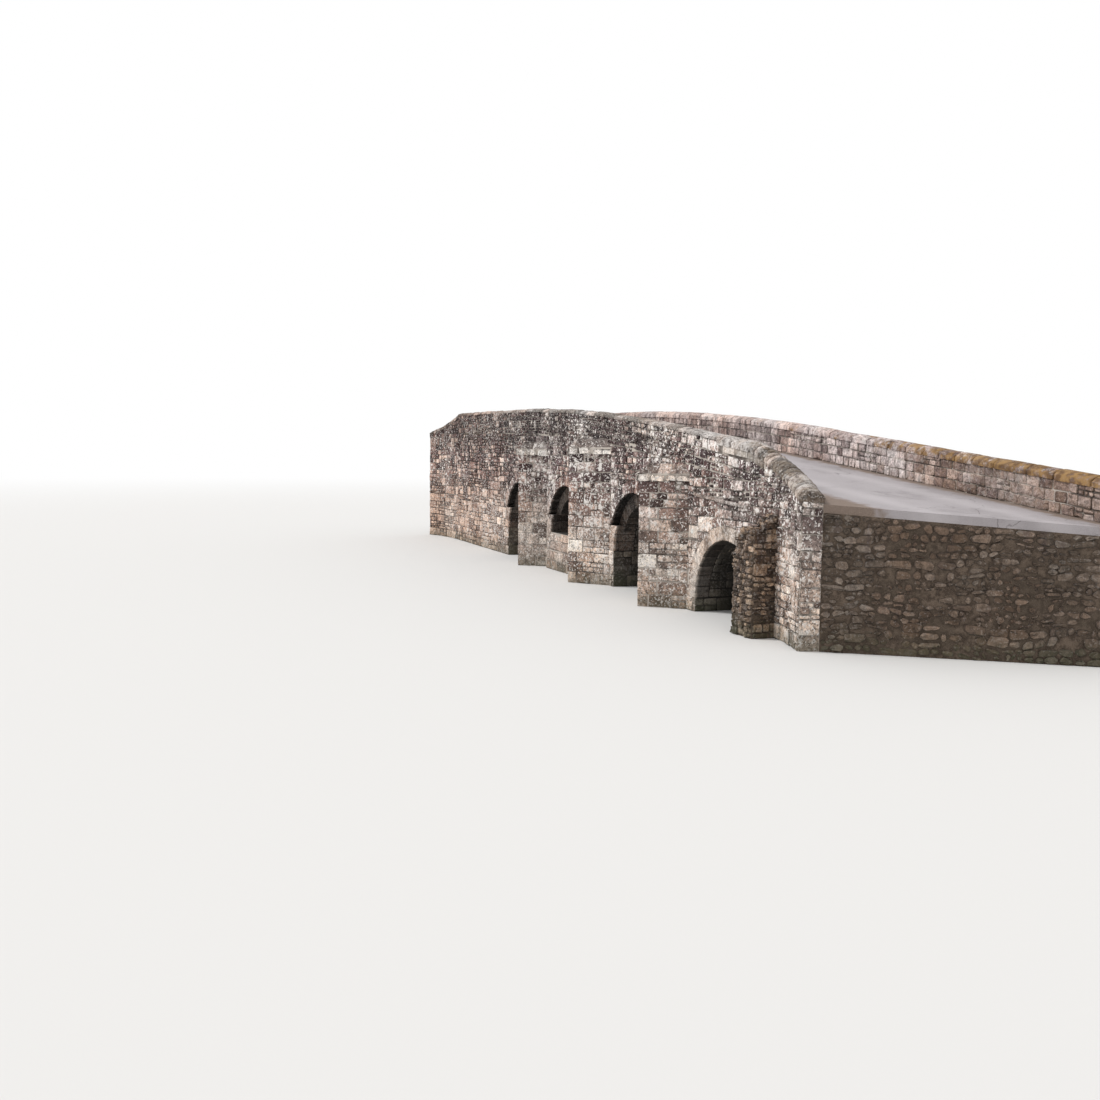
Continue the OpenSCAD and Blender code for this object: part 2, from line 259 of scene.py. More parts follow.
def bare(f, s, low, high, contrast, mortar):
    colour = f.mix(s.height, f.ramp(s.tone, low), f.ramp(s.tone, high))
    warm = f.span(f.noise(s.at, 0.7, 3.0) + 0.14 * s.left_end, 0.35, 0.65)
    colour = f.mix(1.0, colour, f.mix(warm, COOL, WARM), "MULTIPLY")
    colour = f.mix(s.left_end, colour, f.mix(1.0, colour, LEFT_BROWN, "MULTIPLY"))
    mottle = f.noise(s.at, 13.0, 3.0, 0.6)
    uneven = 1.1 * (s.patch - 0.5) + 1.7 * (mottle - 0.5) + 2.0 * (s.grain - 0.5)
    colour = f.scaled(colour, (1.0 + contrast * uneven).most(0.15))
    edge = f.span(s.rim + 0.9 * (s.patch - 0.5), 0.55, 0.95)
    pointed = f.span(s.cloud + 0.25 * (s.patch - 0.5), 0.42, 0.58)
    colour = f.mix(edge * pointed * mortar, colour, LIME)
    # Where an edge is not pointed, dirt and the painted shade of the open joint darken it nearly
    # to black.
    return f.mix(edge * (1.0 - pointed) * 0.5, colour, JOINT_DIRT_AND_SHADE)


print("bare stone, with lime at", LIME)

# %% Rain streaks, darker stone on the hump and the wing, and weathered pocks
RAIN, POCK, MIDDLE_GREY = (0.085, 0.062, 0.060), (0.075, 0.055, 0.052), 0.22


def weathered(f, s, colour, punch, shade):
    streak = f.noise(f.place((6.0, 6.0, 0.9)), 1.0, 3.0)
    dark = f.span(streak, 0.53, 0.68) * (0.25 + 0.4 * s.height)
    colour = f.mix(dark, colour, RAIN)
    grey = f.node("ShaderNodeRGBToBW", {}, {0: colour})
    dim = 1.0 - punch * shade * (0.5 * s.hump + 0.36 * s.wing)
    colour = f.scaled(colour, ((grey / MIDDLE_GREY) ** (0.5 * punch)).least(1.5) * dim)
    pocks = f.span(f.noise(s.at, 23.0, 3.0, 0.6), 0.45, 0.39) * 0.8 * punch
    return f.mix(pocks, colour, POCK)


print("rain streaks at", RAIN)

# %% Lichen and moss
LICHEN = (0.72, 0.675, 0.635), (0.95, 0.905, 0.865)
MOSS = (0.14, 0.075, 0.031), (0.31, 0.182, 0.066)


def lichen_crust(f, s):
    right_part = f.span(s.along, 5.2, 6.4) * f.span(s.along, 8.8, 8.0) * s.height
    dry = (0.10 * s.tone + 0.34 * (s.cloud - 0.5) + 0.04 * right_part - 0.045 * s.left_end
           - 0.03 * s.wing - 0.04 * s.hump - 0.02)
    spots = f.span(f.noise(s.at, 8.5, 3.0, 0.55) + dry, 0.615, 0.64)
    fine = (f.noise(s.at, 21.0, 2.0) + 0.25 * (s.cloud - 0.5) + 0.012 * s.height
            - 0.02 * (s.hump + s.wing))
    return (spots * (0.45 + 0.55 * s.height) + 0.85 * f.span(fine, 0.59, 0.62)).least(1.0)


def mossy(f, s, colour, orange):
    right = f.span(s.along, 3.0, 12.0)
    moss = f.noise(s.at, 2.6, 5.0, 0.7) + 0.2 * (s.grain - 0.5) + 0.24 * right
    gold = (0.9 * orange * f.span(moss, 0.60, 0.72)).least(1.0)
    colour = f.scaled(colour, 1.0 - 0.28 * right)
    return f.mix(gold, colour, f.mix(f.span(s.patch, 0.4, 0.6), *MOSS))


print("lichen from", *LICHEN, "and moss from", *MOSS)

# %% Stone finish
# UNDERSIDE_SHADE is painted shade for faces turned downwards. DAMP_FOOT is green damp near the
# ground.
UNDERSIDE_SHADE, DAMP_FOOT = (0.028, 0.026, 0.022), (0.075, 0.078, 0.045)


def stone(name, low, high=None, lichen=1.0, orange=0.0, contrast=1.0, mortar=0.35, punch=1.0,
          inside=0.0, deep=0.07, shade=1.0):
    f = Finish(name, Specular_IOR_Level=0.25)
    s = survey(f)
    colour = weathered(f, s, bare(f, s, low, high or low, contrast, mortar), punch, shade)
    crust = lichen_crust(f, s) * lichen
    colour = f.mix(crust, colour, f.mix(s.grain, *LICHEN))
    if orange:
        colour = mossy(f, s, colour, orange)
    facing = f.parts(f.node("ShaderNodeNewGeometry", out=1))
    # Painted shade: faces turned downwards are darkened towards near black.
    colour = f.mix(0.72 * f.span(facing[2], -0.25, -0.7), colour, UNDERSIDE_SHADE)
    colour = f.mix(f.span(s.up + 0.35 * s.patch, 0.75, 0.15) * 0.55, colour, DAMP_FOOT)
    # Painted shade: behind the face under the arches the colour is darkened by the share inside.
    if inside:
        colour = f.scaled(colour, 1.0 - inside * f.painted_arch_shade(s.at, deep))
    pits = f.noise(s.at, 130.0, 2.0)
    relief = 0.55 * s.patch + 0.35 * s.grain + 0.12 * pits + 0.25 * crust
    return f.finish(colour, 0.78 + 0.2 * s.grain, relief, 0.55, 0.014)


print("stone finish ready")

# %% The colours of each kind of stone, from its darkest blocks to its palest
BUFF = [(0.0, (0.17, 0.127, 0.108)), (0.25, (0.33, 0.26, 0.22)), (0.6, (0.44, 0.362, 0.31)),
        (0.85, (0.52, 0.452, 0.395)), (0.94, (0.66, 0.60, 0.53)), (1.0, (0.29, 0.19, 0.15))]
PURPLE = [(0.0, (0.072, 0.044, 0.047)), (0.3, (0.15, 0.095, 0.097)),
          (0.55, (0.225, 0.151, 0.148)), (0.75, (0.31, 0.225, 0.212)),
          (0.9, (0.42, 0.345, 0.32)), (1.0, (0.62, 0.56, 0.52))]
PINK = [(0.0, (0.26, 0.198, 0.19)), (0.5, (0.49, 0.405, 0.385)), (1.0, (0.65, 0.563, 0.54))]
CAPPED = [(0.0, (0.17, 0.138, 0.125)), (0.5, (0.32, 0.27, 0.247)), (1.0, (0.48, 0.42, 0.388))]
EAVES = [(0.0, (0.36, 0.33, 0.305)), (0.5, (0.62, 0.58, 0.54)), (1.0, (0.82, 0.78, 0.73))]
PALE = [(0.0, (0.20, 0.17, 0.148)), (0.35, (0.36, 0.315, 0.275)), (0.6, (0.48, 0.42, 0.37)),
        (1.0, (0.60, 0.535, 0.48))]
TOPS = [(0.0, (0.09, 0.082, 0.073)), (0.35, (0.21, 0.192, 0.174)), (0.6, (0.32, 0.292, 0.275)),
        (1.0, (0.49, 0.44, 0.415))]
# DAMP_AND_SHADED is damp vault stone, made darker still as painted shade under the arches.
DAMP_AND_SHADED = [(0.0, (0.045, 0.042, 0.035)), (0.5, (0.105, 0.098, 0.082)), (1.0, (0.20, 0.185, 0.155))]
RUST = [(0.0, (0.065, 0.048, 0.036)), (0.5, (0.17, 0.127, 0.095)), (1.0, (0.38, 0.30, 0.225))]
LEDGE = [(0.0, (0.20, 0.165, 0.148)), (1.0, (0.40, 0.34, 0.31))]
CORE = [(0.0, (0.09, 0.068, 0.052)), (0.6, (0.145, 0.112, 0.088)), (1.0, (0.21, 0.17, 0.14))]
print("the wall goes from", BUFF[2][1], "low down to", PURPLE[2][1], "high up")

# %% Stone finishes
# inside is the share of painted shade each finish gets behind the faces under the arches.
wall_stone = stone("weathered_wall", BUFF, PURPLE, inside=0.7)
inner_face_stone = stone("parapet_inside", PINK, lichen=0.3, orange=0.22, mortar=0.3, punch=0.6)
# The vault lining is darkened over its whole depth as painted shade.
vault_stone = stone("vault_lining", DAMP_AND_SHADED, lichen=0.15, mortar=0.05, punch=0.2, inside=0.82,
                    deep=1.1)
outer_ring_stone = stone("outer_ring", BUFF, PURPLE, inside=0.85)
inner_ring_stone = stone("inner_ring", BUFF, lichen=0.6, mortar=0.2, inside=0.76)
flood_ring_stone = stone("flood_ring", PALE, lichen=0.45, mortar=0.3, punch=0.5, inside=0.8)
dressed = stone("ashlar", PALE, lichen=0.35, contrast=0.8, mortar=0.2, punch=0.3)
ledge_stone = stone("ledges", LEDGE, lichen=0.5, mortar=0.2, punch=0.6)
cap_stone = stone("cap_slabs", CAPPED, lichen=0.7, mortar=0.2, punch=0.8)
eaves_stone = stone("cap_eaves", EAVES, mortar=0.0, punch=0.8)
coping_stone = stone("coping_tops", TOPS, lichen=0.5, orange=0.22, mortar=0.0, punch=0.8,
                     shade=0.15)
far_coping_stone = stone("far_coping", PINK, lichen=0.4, orange=1.0, mortar=0.1, punch=0.5)
broken_stone = stone("broken", RUST, lichen=0.2, mortar=0.1, punch=0.8)
core_stone = stone("hearting", CORE, lichen=0.1, mortar=0.0, punch=0.0)
print("stone finishes", [m.name for m in bpy.data.materials if m.use_nodes])

# %% [markdown]
# The stones are bedded in lime mortar. It is pale where it was pointed again and dark where
# it has washed out. The frame's own faces show only in the joints, so they all get mortar.

# %% Mortar finish
def mortar(name, pale, dark, share):
    f = Finish(name, Specular_IOR_Level=0.2)
    at = f.place()
    cloud, grit = f.noise(at, 0.8, 3.0), f.noise(at, 70.0, 4.0, 0.7)
    washed = f.span(cloud + 0.2 * f.noise(at, 6.0, 3.0), share, share + 0.16)
    colour = f.mix(washed, pale, dark)
    colour = f.mix(0.5 * grit, colour, (0.20, 0.17, 0.15))
    # Painted shade: mortar behind the faces under the arches is darkened.
    colour = f.scaled(colour, 1.0 - 0.88 * f.painted_arch_shade(at))
    return f.finish(colour, 0.85 + 0.15 * grit, grit, 0.7, 0.01)


joint_mortar = mortar("joint_mortar", (0.60, 0.54, 0.48), (0.075, 0.06, 0.052), 0.53)
# Near-black mortar for the arches' own parts: partly dark mortar, partly painted shade in the deep
# joints of the rings.
dark_mortar = mortar("dark_mortar", (0.055, 0.05, 0.043), (0.025, 0.023, 0.02), 0.5)
print("mortars ready")

# %% [markdown]
# The earth packed between the walls shows at both ends. It is brown clay soil in clods, with
# grit and small pebbles through it, so its colour and its bumps come at three sizes.

# %% Soil finish
def soil():
    f = Finish("soil", Specular_IOR_Level=0.2)
    at = f.place()
    cloud, clods, grit = f.noise(at, 1.4, 3.0), f.noise(at, 9.0, 5.0, 0.65), f.cells(at, 34.0)
    colour = f.mix(f.span(clods, 0.36, 0.64), (0.072, 0.053, 0.040), (0.165, 0.124, 0.094))
    colour = f.mix(0.6 * f.span(cloud, 0.42, 0.6), colour, (0.085, 0.066, 0.050))
    colour = f.mix(0.55 * f.span(grit, 0.22, 0.12), colour, (0.24, 0.20, 0.165))
    return f.finish(colour, 0.95, clods - 0.35 * grit, 0.9, 0.04)


earth = soil()
print("soil ready")

# %% [markdown]
# The road is old asphalt, worn smooth and slightly purple in the wheel tracks, with grit and
# soil washed to its edges along the parapets. Tracks and edges are found by the distance
# from the road's middle line. The small plate on the wall is white enamel.

# %% Road and plate finishes
WHEEL_TRACK = 0.8


def asphalt():
    f = Finish("asphalt", Specular_IOR_Level=0.3)
    at = f.place()
    off = abs(f.parts(at)[1])
    chips, cloud = f.cells(at, 95.0), f.noise(at, 1.1, 4.0, 0.6)
    stain = f.noise(at, 0.35, 5.0, 0.7)
    sway = f.noise(at, 3.0, 5.0, 0.5, out=1)
    bent = f.node("ShaderNodeMix", {"data_type": "VECTOR"}, {0: 0.22, 4: at, 5: sway}, out=1)
    seam = f.cells(bent, 0.75, "DISTANCE_TO_EDGE")
    colour = f.mix(cloud, (0.37, 0.34, 0.35), (0.52, 0.48, 0.492))
    colour = f.mix(0.45 * f.span(stain, 0.50, 0.62), colour, (0.27, 0.245, 0.25))
    colour = f.mix(0.45 * chips, colour, (0.17, 0.155, 0.16))
    track = f.span(abs(off - WHEEL_TRACK), 0.45, 0.0)
    colour = f.mix(0.4 * track, colour, (0.52, 0.485, 0.495))
    crack = f.span(seam, 0.007, 0.001) * f.span(stain, 0.47, 0.56)
    colour = f.mix(0.6 * crack, colour, (0.09, 0.08, 0.075))
    soil_edge = f.span(off + 0.7 * (f.noise(at, 3.0, 4.0, 0.6) - 0.5), 1.38, 1.72)
    colour = f.mix(soil_edge, colour, f.mix(chips, (0.13, 0.095, 0.075), (0.30, 0.235, 0.195)))
    bumps = chips + 0.6 * soil_edge * f.noise(at, 40.0) - 1.5 * crack
    return f.finish(colour, 0.7 + 0.2 * soil_edge, bumps, 0.5, 0.006)


def enamel():
    f = Finish("plate_enamel", Coat_Weight=0.4)
    wear = f.span(f.noise(f.place(), 60.0, 3.0), 0.55, 0.7)
    colour = f.mix(wear, (0.80, 0.80, 0.76), (0.42, 0.36, 0.30))
    return f.finish(colour, 0.3 + 0.4 * wear, wear, 0.2, 0.001)


road_surface = asphalt()
plate_enamel = enamel()
print("road and plate finishes ready")

# %% Finishes on the frame's own parts
def paint(obj, material):
    obj.data.materials.clear()
    obj.data.materials.append(material)


for name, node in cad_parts.items():
    # The arches' own parts get the near-black mortar, painted shade in the joints between ring
    # stones.
    arch = "arch_" in name and name != "sill_arch_2"
    paint(node, dark_mortar if arch else joint_mortar)
for name in ("fill", "abutment_right", "abutment_left", "buttress_right"):
    paint(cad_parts[name], earth)
paint(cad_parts["carriageway"], road_surface)
paint(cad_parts["marker_disc"], plate_enamel)
print("painted", len(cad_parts), "parts of the frame")

# %% [markdown]
# A wall is drawn flat first, as a mason would on paper: `u` runs along the wall to the
# right as one faces it, `v` is height, and `d` is how far a point stands out of the face.
# A `path` bends that drawing onto the bridge, along a straight line or round a wing.

# %% Paths that carry a drawing onto a wall
def straight(x0, y0, x1, y1):
    run = math.hypot(x1 - x0, y1 - y0)
    tx, ty = (x1 - x0) / run, (y1 - y0) / run
    return lambda u, v, d: np.stack([x0 + tx * u + ty * d, y0 + ty * u - tx * d, v], -1)


def curved(cx, cy, radius, start, end):
    way = 1 if end > start else -1

    def place(u, v, d):
        angle = math.radians(start) + way * u / radius
        reach = radius + way * d
        return np.stack([cx + reach * np.cos(angle), cy + reach * np.sin(angle), v], -1)

    return place


NEAR = straight(0, -HALF, 1, -HALF)
FAR = straight(0, HALF, -1, HALF)
print("one metre along the near face is at", NEAR(1.0, 0.0, 0.0))

# %% [markdown]
# Rubble is laid in rough courses about a forearm high. Within a course one stone may fill
# the whole height, or two or three thinner rows may be packed beside it, which is what
# gives this wall its look. The course lines wander a little, and no two corners are alike.

# %% Laying out rubble
# The chances that a stone's place holds one, two or three rows, and a course's height.
BIG = {"rows": (0.52, 0.40, 0.08), "height": (0.25, 0.36)}
SMALL = {"rows": (0.16, 0.62, 0.22), "height": (0.27, 0.37)}
BLOCKY = {"rows": (0.78, 0.22, 0.0), "height": (0.17, 0.25)}
SQUARED = {"rows": (0.92, 0.08, 0.0), "height": (0.19, 0.25)}


def pairs(row):
    return list(zip(row[:-1], row[1:]))


def courses(low, high, look):
    levels = [low]
    while levels[-1] < high - 0.1:
        levels.append(levels[-1] + dice.uniform(*look["height"]))
    levels = np.array(levels)
    return low + (levels - low) * (high - low) / (levels[-1] - low)


def rubble(left, right, levels, look):
    stones = []
    for low, high in pairs(levels):
        u = left
        while u < right - 0.01:
            rows = dice.choice([1, 2, 3], p=look["rows"])
            tall = (high - low) / rows
            wide = tall * dice.uniform(0.85, 2.1) if rows == 1 else dice.uniform(0.35, 0.85)
            wide = right - u if u + wide > right - 0.14 else wide
            cuts = np.linspace(low, high, rows + 1)
            cuts[1:-1] += tall * dice.uniform(-0.16, 0.16, rows - 1)
            for bottom, top in pairs(cuts):
                many = max(1, round(wide / ((top - bottom) * dice.uniform(1.0, 2.3))))
                shares = dice.uniform(0.7, 1.3, many if rows > 1 else 1)
                joints = u + wide * np.concatenate([[0], np.cumsum(shares) / shares.sum()])
                stones += [(a, b, bottom, top) for a, b in pairs(joints)]
            u += wide
    return stones


print("a metre of rubble wall holds", len(rubble(0, 1, courses(0, 1, SMALL), SMALL)), "stones")

# %% [markdown]
# A mason trims a stone to fit against an arch, a cutwater or the slope of the road. Here
# each trim is a straight cut, and what lies on the kept side stays. The same cut, made
# along every side in turn, opens the mortar joint, and a small one takes off each corner.

# %% Trimming outlines
def around(shape):
    return zip(shape[-1:] + shape[:-1], shape)


def keep(shape, nu, nv, least):
    kept = []
    for a, b in around(shape):
        da, db = nu * a[0] + nv * a[1] - least, nu * b[0] + nv * b[1] - least
        if (da >= 0) != (db >= 0):
            t = da / (da - db)
            kept.append((a[0] + t * (b[0] - a[0]), a[1] + t * (b[1] - a[1])))
        if db >= 0:
            kept.append(b)
    return kept


def open_joint(shape, gap):
    kept = list(shape)
    for a, b in around(shape):
        run = math.dist(a, b)
        if run > 0.004 and len(kept) > 2:
            nu, nv = (a[1] - b[1]) / run, (b[0] - a[0]) / run
            kept = keep(kept, nu, nv, nu * a[0] + nv * a[1] + gap)
    return kept


def knock_corners(shape, size):
    rounded = []
    for k, p in enumerate(shape):
        cut = size * dice.uniform(0.4, 1.4)
        for q in (shape[k - 1], shape[(k + 1) % len(shape)]):
            t = min(cut / max(math.dist(p, q), 0.001), 0.36)
            rounded.append((p[0] + t * (q[0] - p[0]), p[1] + t * (q[1] - p[1])))
    return rounded


print("a square's corner cut off leaves", keep([(0, 0), (1, 0), (1, 1), (0, 1)], -1, -1, -1.5))


# %% Outlines of a wall's stones
def big_enough(shape, least=0.05):
    if len(shape) < 3:
        return False
    wide, tall = np.ptp(np.array(shape), axis=0)
    area = 0.5 * abs(sum(a[0] * b[1] - b[0] * a[1] for a, b in around(shape)))
    return min(wide, tall) > least and area > 0.55 * least * max(wide, tall)


def outlines(stones, trims, line=None, gap=0.006, loose=0.007, corner=0.022, wander=1.0):
    shapes = []
    for left, right, low, high in stones:
        shape = []
        for u, v in ((left, low), (right, low), (right, high), (left, high)):
            sway = 0.012 * math.sin(1.3 * u + 2.1 * v) + 0.008 * math.sin(3.7 * u - 1.9 * v)
            v += sway * wander + (float(line(u)) if line else 0.0)
            shape.append((u + dice.uniform(-loose, loose), v + dice.uniform(-loose, loose)))
        centre = np.mean(shape, axis=0)
        for nu, nv, least in trims(*centre):
            shape = keep(shape, nu, nv, least)
            if len(shape) < 3:
                break
        width = (gap(*centre) if callable(gap) else gap) * dice.uniform(0.7, 1.5)
        shape = open_joint(shape, width) if len(shape) > 2 else []
        if big_enough(shape):
            shapes.append(knock_corners(shape, corner) if len(shape) < 7 else shape)
    return shapes


def slope_of(line, x, reach=0.5):
    return float(line(x + reach) - line(x - reach)) / (2 * reach)


def under(slope, x, level, way=1):
    return slope * way, -1, slope * x - level


def ends(left, right, way=1):
    return [(way, 0, left), (-way, 0, -right)]


print("the road slopes by", round(slope_of(road_z, 2.0), 3), "over the third arch")

# %% [markdown]
# Turning flat outlines into stones takes five strokes in edit mode: extrude every outline
# out of the wall, inset and lift it for the worn edge, inset again for the swelling face,
# and poke the middle. All stones of a wall are made at once, because they are one mesh.
# Then each stone is pushed in or out and tipped a little, and its points are roughened.

# %% Edit mode, and the number on each stone
@contextmanager
def edit_mode(obj):
    bpy.ops.object.select_all(action="DESELECT")
    obj.select_set(True)
    bpy.context.view_layer.objects.active = obj
    bpy.ops.object.mode_set(mode="EDIT")
    bpy.ops.mesh.select_all(action="SELECT")
    yield
    bpy.ops.object.mode_set(mode="OBJECT")


def extruded(length):
    bpy.ops.mesh.extrude_region_move(TRANSFORM_OT_translate={"value": (0, 0, length)})


def numbered(name, points, faces, numbers):
    mesh = bpy.data.meshes.new(name)
    mesh.from_pydata(points, [], faces)
    attribute = mesh.attributes.new("stone", "FLOAT", "FACE")
    attribute.data.foreach_set("value", np.array(numbers, np.float32))
    piece = bpy.data.objects.new(name, mesh)
    bpy.context.scene.collection.objects.link(piece)
    return piece


def drawn(name, shapes, base=0.0):
    points = [(u, v, base) for shape in shapes for u, v in shape]
    first = np.cumsum([0] + [len(shape) for shape in shapes])
    faces = [list(range(a, b)) for a, b in pairs(first)]
    return numbered(name, points, faces, range(len(shapes)))


def stones_of(mesh):
    count = len(mesh.polygons)
    number, total = np.empty(count, np.float32), np.empty(count, np.int32)
    corner = np.empty(len(mesh.loops), np.int32)
    mesh.attributes["stone"].data.foreach_get("value", number)
    mesh.polygons.foreach_get("loop_total", total)
    mesh.loops.foreach_get("vertex_index", corner)
    number = np.rint(number).astype(int)
    owner = np.zeros(len(mesh.vertices), int)
    owner[corner] = np.repeat(number, total)
    points = np.empty(len(mesh.vertices) * 3)
    mesh.vertices.foreach_get("co", points)
    return number, owner, points.reshape(-1, 3)


def held(p, owner, shapes, slack=0.004):
    low = np.array([np.min(s, axis=0) for s in shapes])[owner] - slack
    high = np.array([np.max(s, axis=0) for s in shapes])[owner] + slack
    p[:, :2] = np.clip(p[:, :2], low, high)


print("edit-mode helpers ready")

# %% Laying the finished stones on the bridge
def laid(piece, points, rim, tones, material, slot, angle=38):
    mesh = piece.data
    points[:, 2] = np.maximum(points[:, 2], 0.0)
    mesh.vertices.foreach_set("co", points.astype(np.float32).ravel())
    for name, domain, values in (("tone", "FACE", tones[stones_of(mesh)[0]]),
                                 ("rim", "POINT", rim)):
        attribute = mesh.attributes.new(name, "FLOAT", domain)
        attribute.data.foreach_set("value", values.astype(np.float32))
    mesh.attributes.remove(mesh.attributes["stone"])
    mesh.update()
    with edit_mode(piece):
        bpy.ops.mesh.normals_make_consistent(inside=False)
    bpy.ops.object.shade_smooth_by_angle(angle=math.radians(angle))
    paint(piece, material)
    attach(piece, "root")
    triangles = sum(len(p.vertices) - 2 for p in mesh.polygons)
    print(f"{piece.name}: {len(tones)} stones, {triangles} triangles")
    return piece


print("stones are smoothed, painted and set on the body by laid()")

# %% Rock-faced rubble
SUNK, WORN, SWELL, DOME = 0.03, 0.008, 0.0035, 0.003


def rock_faced(name, shapes, place, material, slot, proud=0.019, rough=0.005, tip=0.055,
               tones=None):
    piece = drawn(name, shapes, -SUNK)
    with edit_mode(piece):
        extruded(SUNK + proud - WORN)
        bpy.ops.mesh.inset(thickness=WORN, depth=WORN, use_individual=True)
        bpy.ops.mesh.inset(thickness=0.018, depth=SWELL, use_individual=True)
        bpy.ops.mesh.poke(offset=DOME)
    number, owner, p = stones_of(piece.data)
    held(p, owner, shapes)
    p[:, 2] = np.clip(p[:, 2], -SUNK, proud + 0.012)
    count = len(shapes)
    centre = np.array([np.mean(s, axis=0) for s in shapes])
    front, least = p[:, 2] > 0, 0.3 * p[:, 2]
    rim = np.where(p[:, 2] > proud + 0.0015, 0.0, 1.0)
    push = np.clip(dice.normal(0, 0.45 * proud, count), -0.7 * proud, 1.2 * proud)
    lean = dice.normal(0, tip, (count, 2))
    off = p[:, :2] - centre[owner]
    p[:, 2] += front * (push[owner] + np.clip((lean[owner] * off).sum(1), -0.008, 0.008))
    p += front[:, None] * dice.normal(0, rough, p.shape) * (0.8, 0.8, 1.0)
    p[:, 2] = np.where(front, np.maximum(p[:, 2], least), p[:, 2])
    tones = dice.uniform(0, 1, count) if tones is None else tones
    return laid(piece, place(*p.T), rim, tones, material, slot)


print("a rubble stone reaches", SUNK, "m into the joint")

# %% [markdown]
# The outer faces come first. Every stone near an arch is trimmed along the ring, and the
# openings, the cutwaters' feet and the line of the road are kept clear in the same way.
# Boolean cuts on the finished stones would leave slivers, so the outlines are cut instead.

# %% Trims on a face that the arches pass through
PLATE_BLOCK = (5.60, 6.02, 1.64, 1.93)
NOTHING = (0, 1, 99)


def clear_of(x, v, way, left, right, low, high):
    """The cut that keeps a stone outside an upright rectangle, along its nearest side."""
    if x < left - 0.5 or x > right + 0.5 or v < low - 0.3 or v > high + 0.3:
        return []
    sides = {left - x: (-way, 0, -left), x - right: (way, 0, right), low - v: (0, -1, -low),
             v - high: (0, 1, high)}
    nearest = max(sides)
    return [sides[nearest] if nearest > -0.16 else NOTHING]


def face_trims(way, left, right, top):
    def trims(u, v):
        x, cuts = way * u, [(0, 1, 0)] + ends(left, right, way)
        arches = [(bay, SPRING, CLEAR, INNER if v < SHOULDER else OUTER) for bay in BAYS]
        for cx, cz, jamb, ring in arches + [(FLOOD_X, FLOOD_Z, FLOOD_CLEAR, FLOOD_OUT)]:
            dx, dz = x - cx, v - cz
            side, reach = (1 if dx > 0 else -1), math.hypot(dx, dz)
            if dz < 0 and abs(dx) < jamb + 1:
                cuts.append((side * way, 0, side * cx + jamb))
            elif 0 < reach < ring + 0.8 and dz >= 0:
                nx, nz = dx / reach, dz / reach
                cuts.append((nx * way, nz, nx * cx + nz * cz + ring - 0.006))
        for foot_l, _, foot_r, _, crown in CUTWATERS:
            cuts += clear_of(x, v, way, foot_l, foot_r, -9, crown)
        if way > 0:
            cuts += clear_of(x, v, way, *PLATE_BLOCK)
        return cuts + [under(slope_of(top, x), x, float(top(x)), way)]

    return trims


crown_trims = face_trims(1, LEFT, WING_X, road_z)(BAYS[0], SPRING + OUTER)[3:]
print("trims over the first arch's crown", *np.round(crown_trims, 3))

# %% Outer faces
BAND_X, BAND_H = (7.15, 8.87), 0.16
SLAB_LIFT, SLAB_END, BLOCKY_X = 0.085, 6.85, 5.8
NEVER = 99


def face(name, place, way, left, right):
    levels = courses(0, 4.3, BIG)
    for bed in (SPRING, SHOULDER):
        levels[np.argmin(abs(levels - bed))] = bed
    low = levels[levels < 2.3]
    stones = rubble(*sorted((way * left, way * right)), low, BIG)
    turn = BLOCKY_X if way > 0 else NEVER
    spans = ((left, min(turn, right), SMALL), (turn, right, BLOCKY)) if way > 0 else (
        (-right, -left, SMALL),)
    for start, end, look in spans:
        stones += rubble(start, end, courses(low[-1], 4.35, look), look)
    wide_joint = lambda u, v: 0.012 if u > turn and v > 2.6 else 0.007
    shapes = outlines(stones, face_trims(way, left, right, road_z), gap=wide_joint)
    rows = np.array([0.0, 0.2, 0.42, PARAPET + SLAB_LIFT])
    top = [stone for start, end, look in spans for stone in rubble(start, end, rows, look)]
    band, lifted = (BAND_X[0], SLAB_END) if way > 0 else (NEVER, -NEVER)

    def parapet_trims(u, v):
        x = way * u
        level, slope = float(road_z(x)), slope_of(road_z, x)
        lid = PARAPET - (BAND_H if x > band else 0) + (SLAB_LIFT if x < lifted else 0)
        foot = (-slope * way, 1, level - slope * x)
        return ends(left, right, way) + [under(slope, x, level + lid, way), foot]

    shapes += outlines(top, parapet_trims, lambda u: road_z(way * u), gap=wide_joint)
    centre = np.array([np.mean(shape, axis=0) for shape in shapes])
    tones = dice.uniform(0, 1, len(shapes))
    top_row = centre[:, 1] - road_z(way * centre[:, 0]) > 0.44
    bright = top_row & (centre[:, 0] > 2) & (dice.uniform(0, 1, len(shapes)) < 0.4)
    tones[bright] = 0.9 + 0.1 * tones[bright]
    return rock_faced(name, shapes, place, wall_stone, "wall_stone", tones=tones)


face("face_near", NEAR, 1, LEFT, WING_X)
face("face_far", FAR, -1, LEFT, FAR_END)

# %% [markdown]
# The parapets' inner faces are better work than the outer ones: squared blocks of even
# height, set in level rows that follow the road. The helpers for rubble lay them too, from
# fixed rows that nearly every stone fills.

# %% Inner faces of the parapets
def inner_face(name, place, way, left, right):
    top = PARAPET + (SLAB_LIFT if way < 0 else 0)
    rows = np.array([0.0, 0.2, 0.41, top])
    stones = rubble(*sorted((way * left, way * right)), rows, SQUARED)

    def trims(u, v):
        x = way * u
        lid = float(road_z(x)) + (top if x < SLAB_END else PARAPET)
        return ends(left, right, way) + [under(slope_of(road_z, x), x, lid, way)]

    shapes = outlines(stones, trims, lambda u: road_z(way * u), wander=0.4)
    return rock_faced(name, shapes, place, inner_face_stone, "wall_stone", proud=0.014)


inner_face("parapet_inside_near", straight(0, -INSIDE, -1, -INSIDE), -1, LEFT, WING_X)
inner_face("parapet_inside_far", straight(0, INSIDE, 1, INSIDE), 1, LEFT, FAR_END)

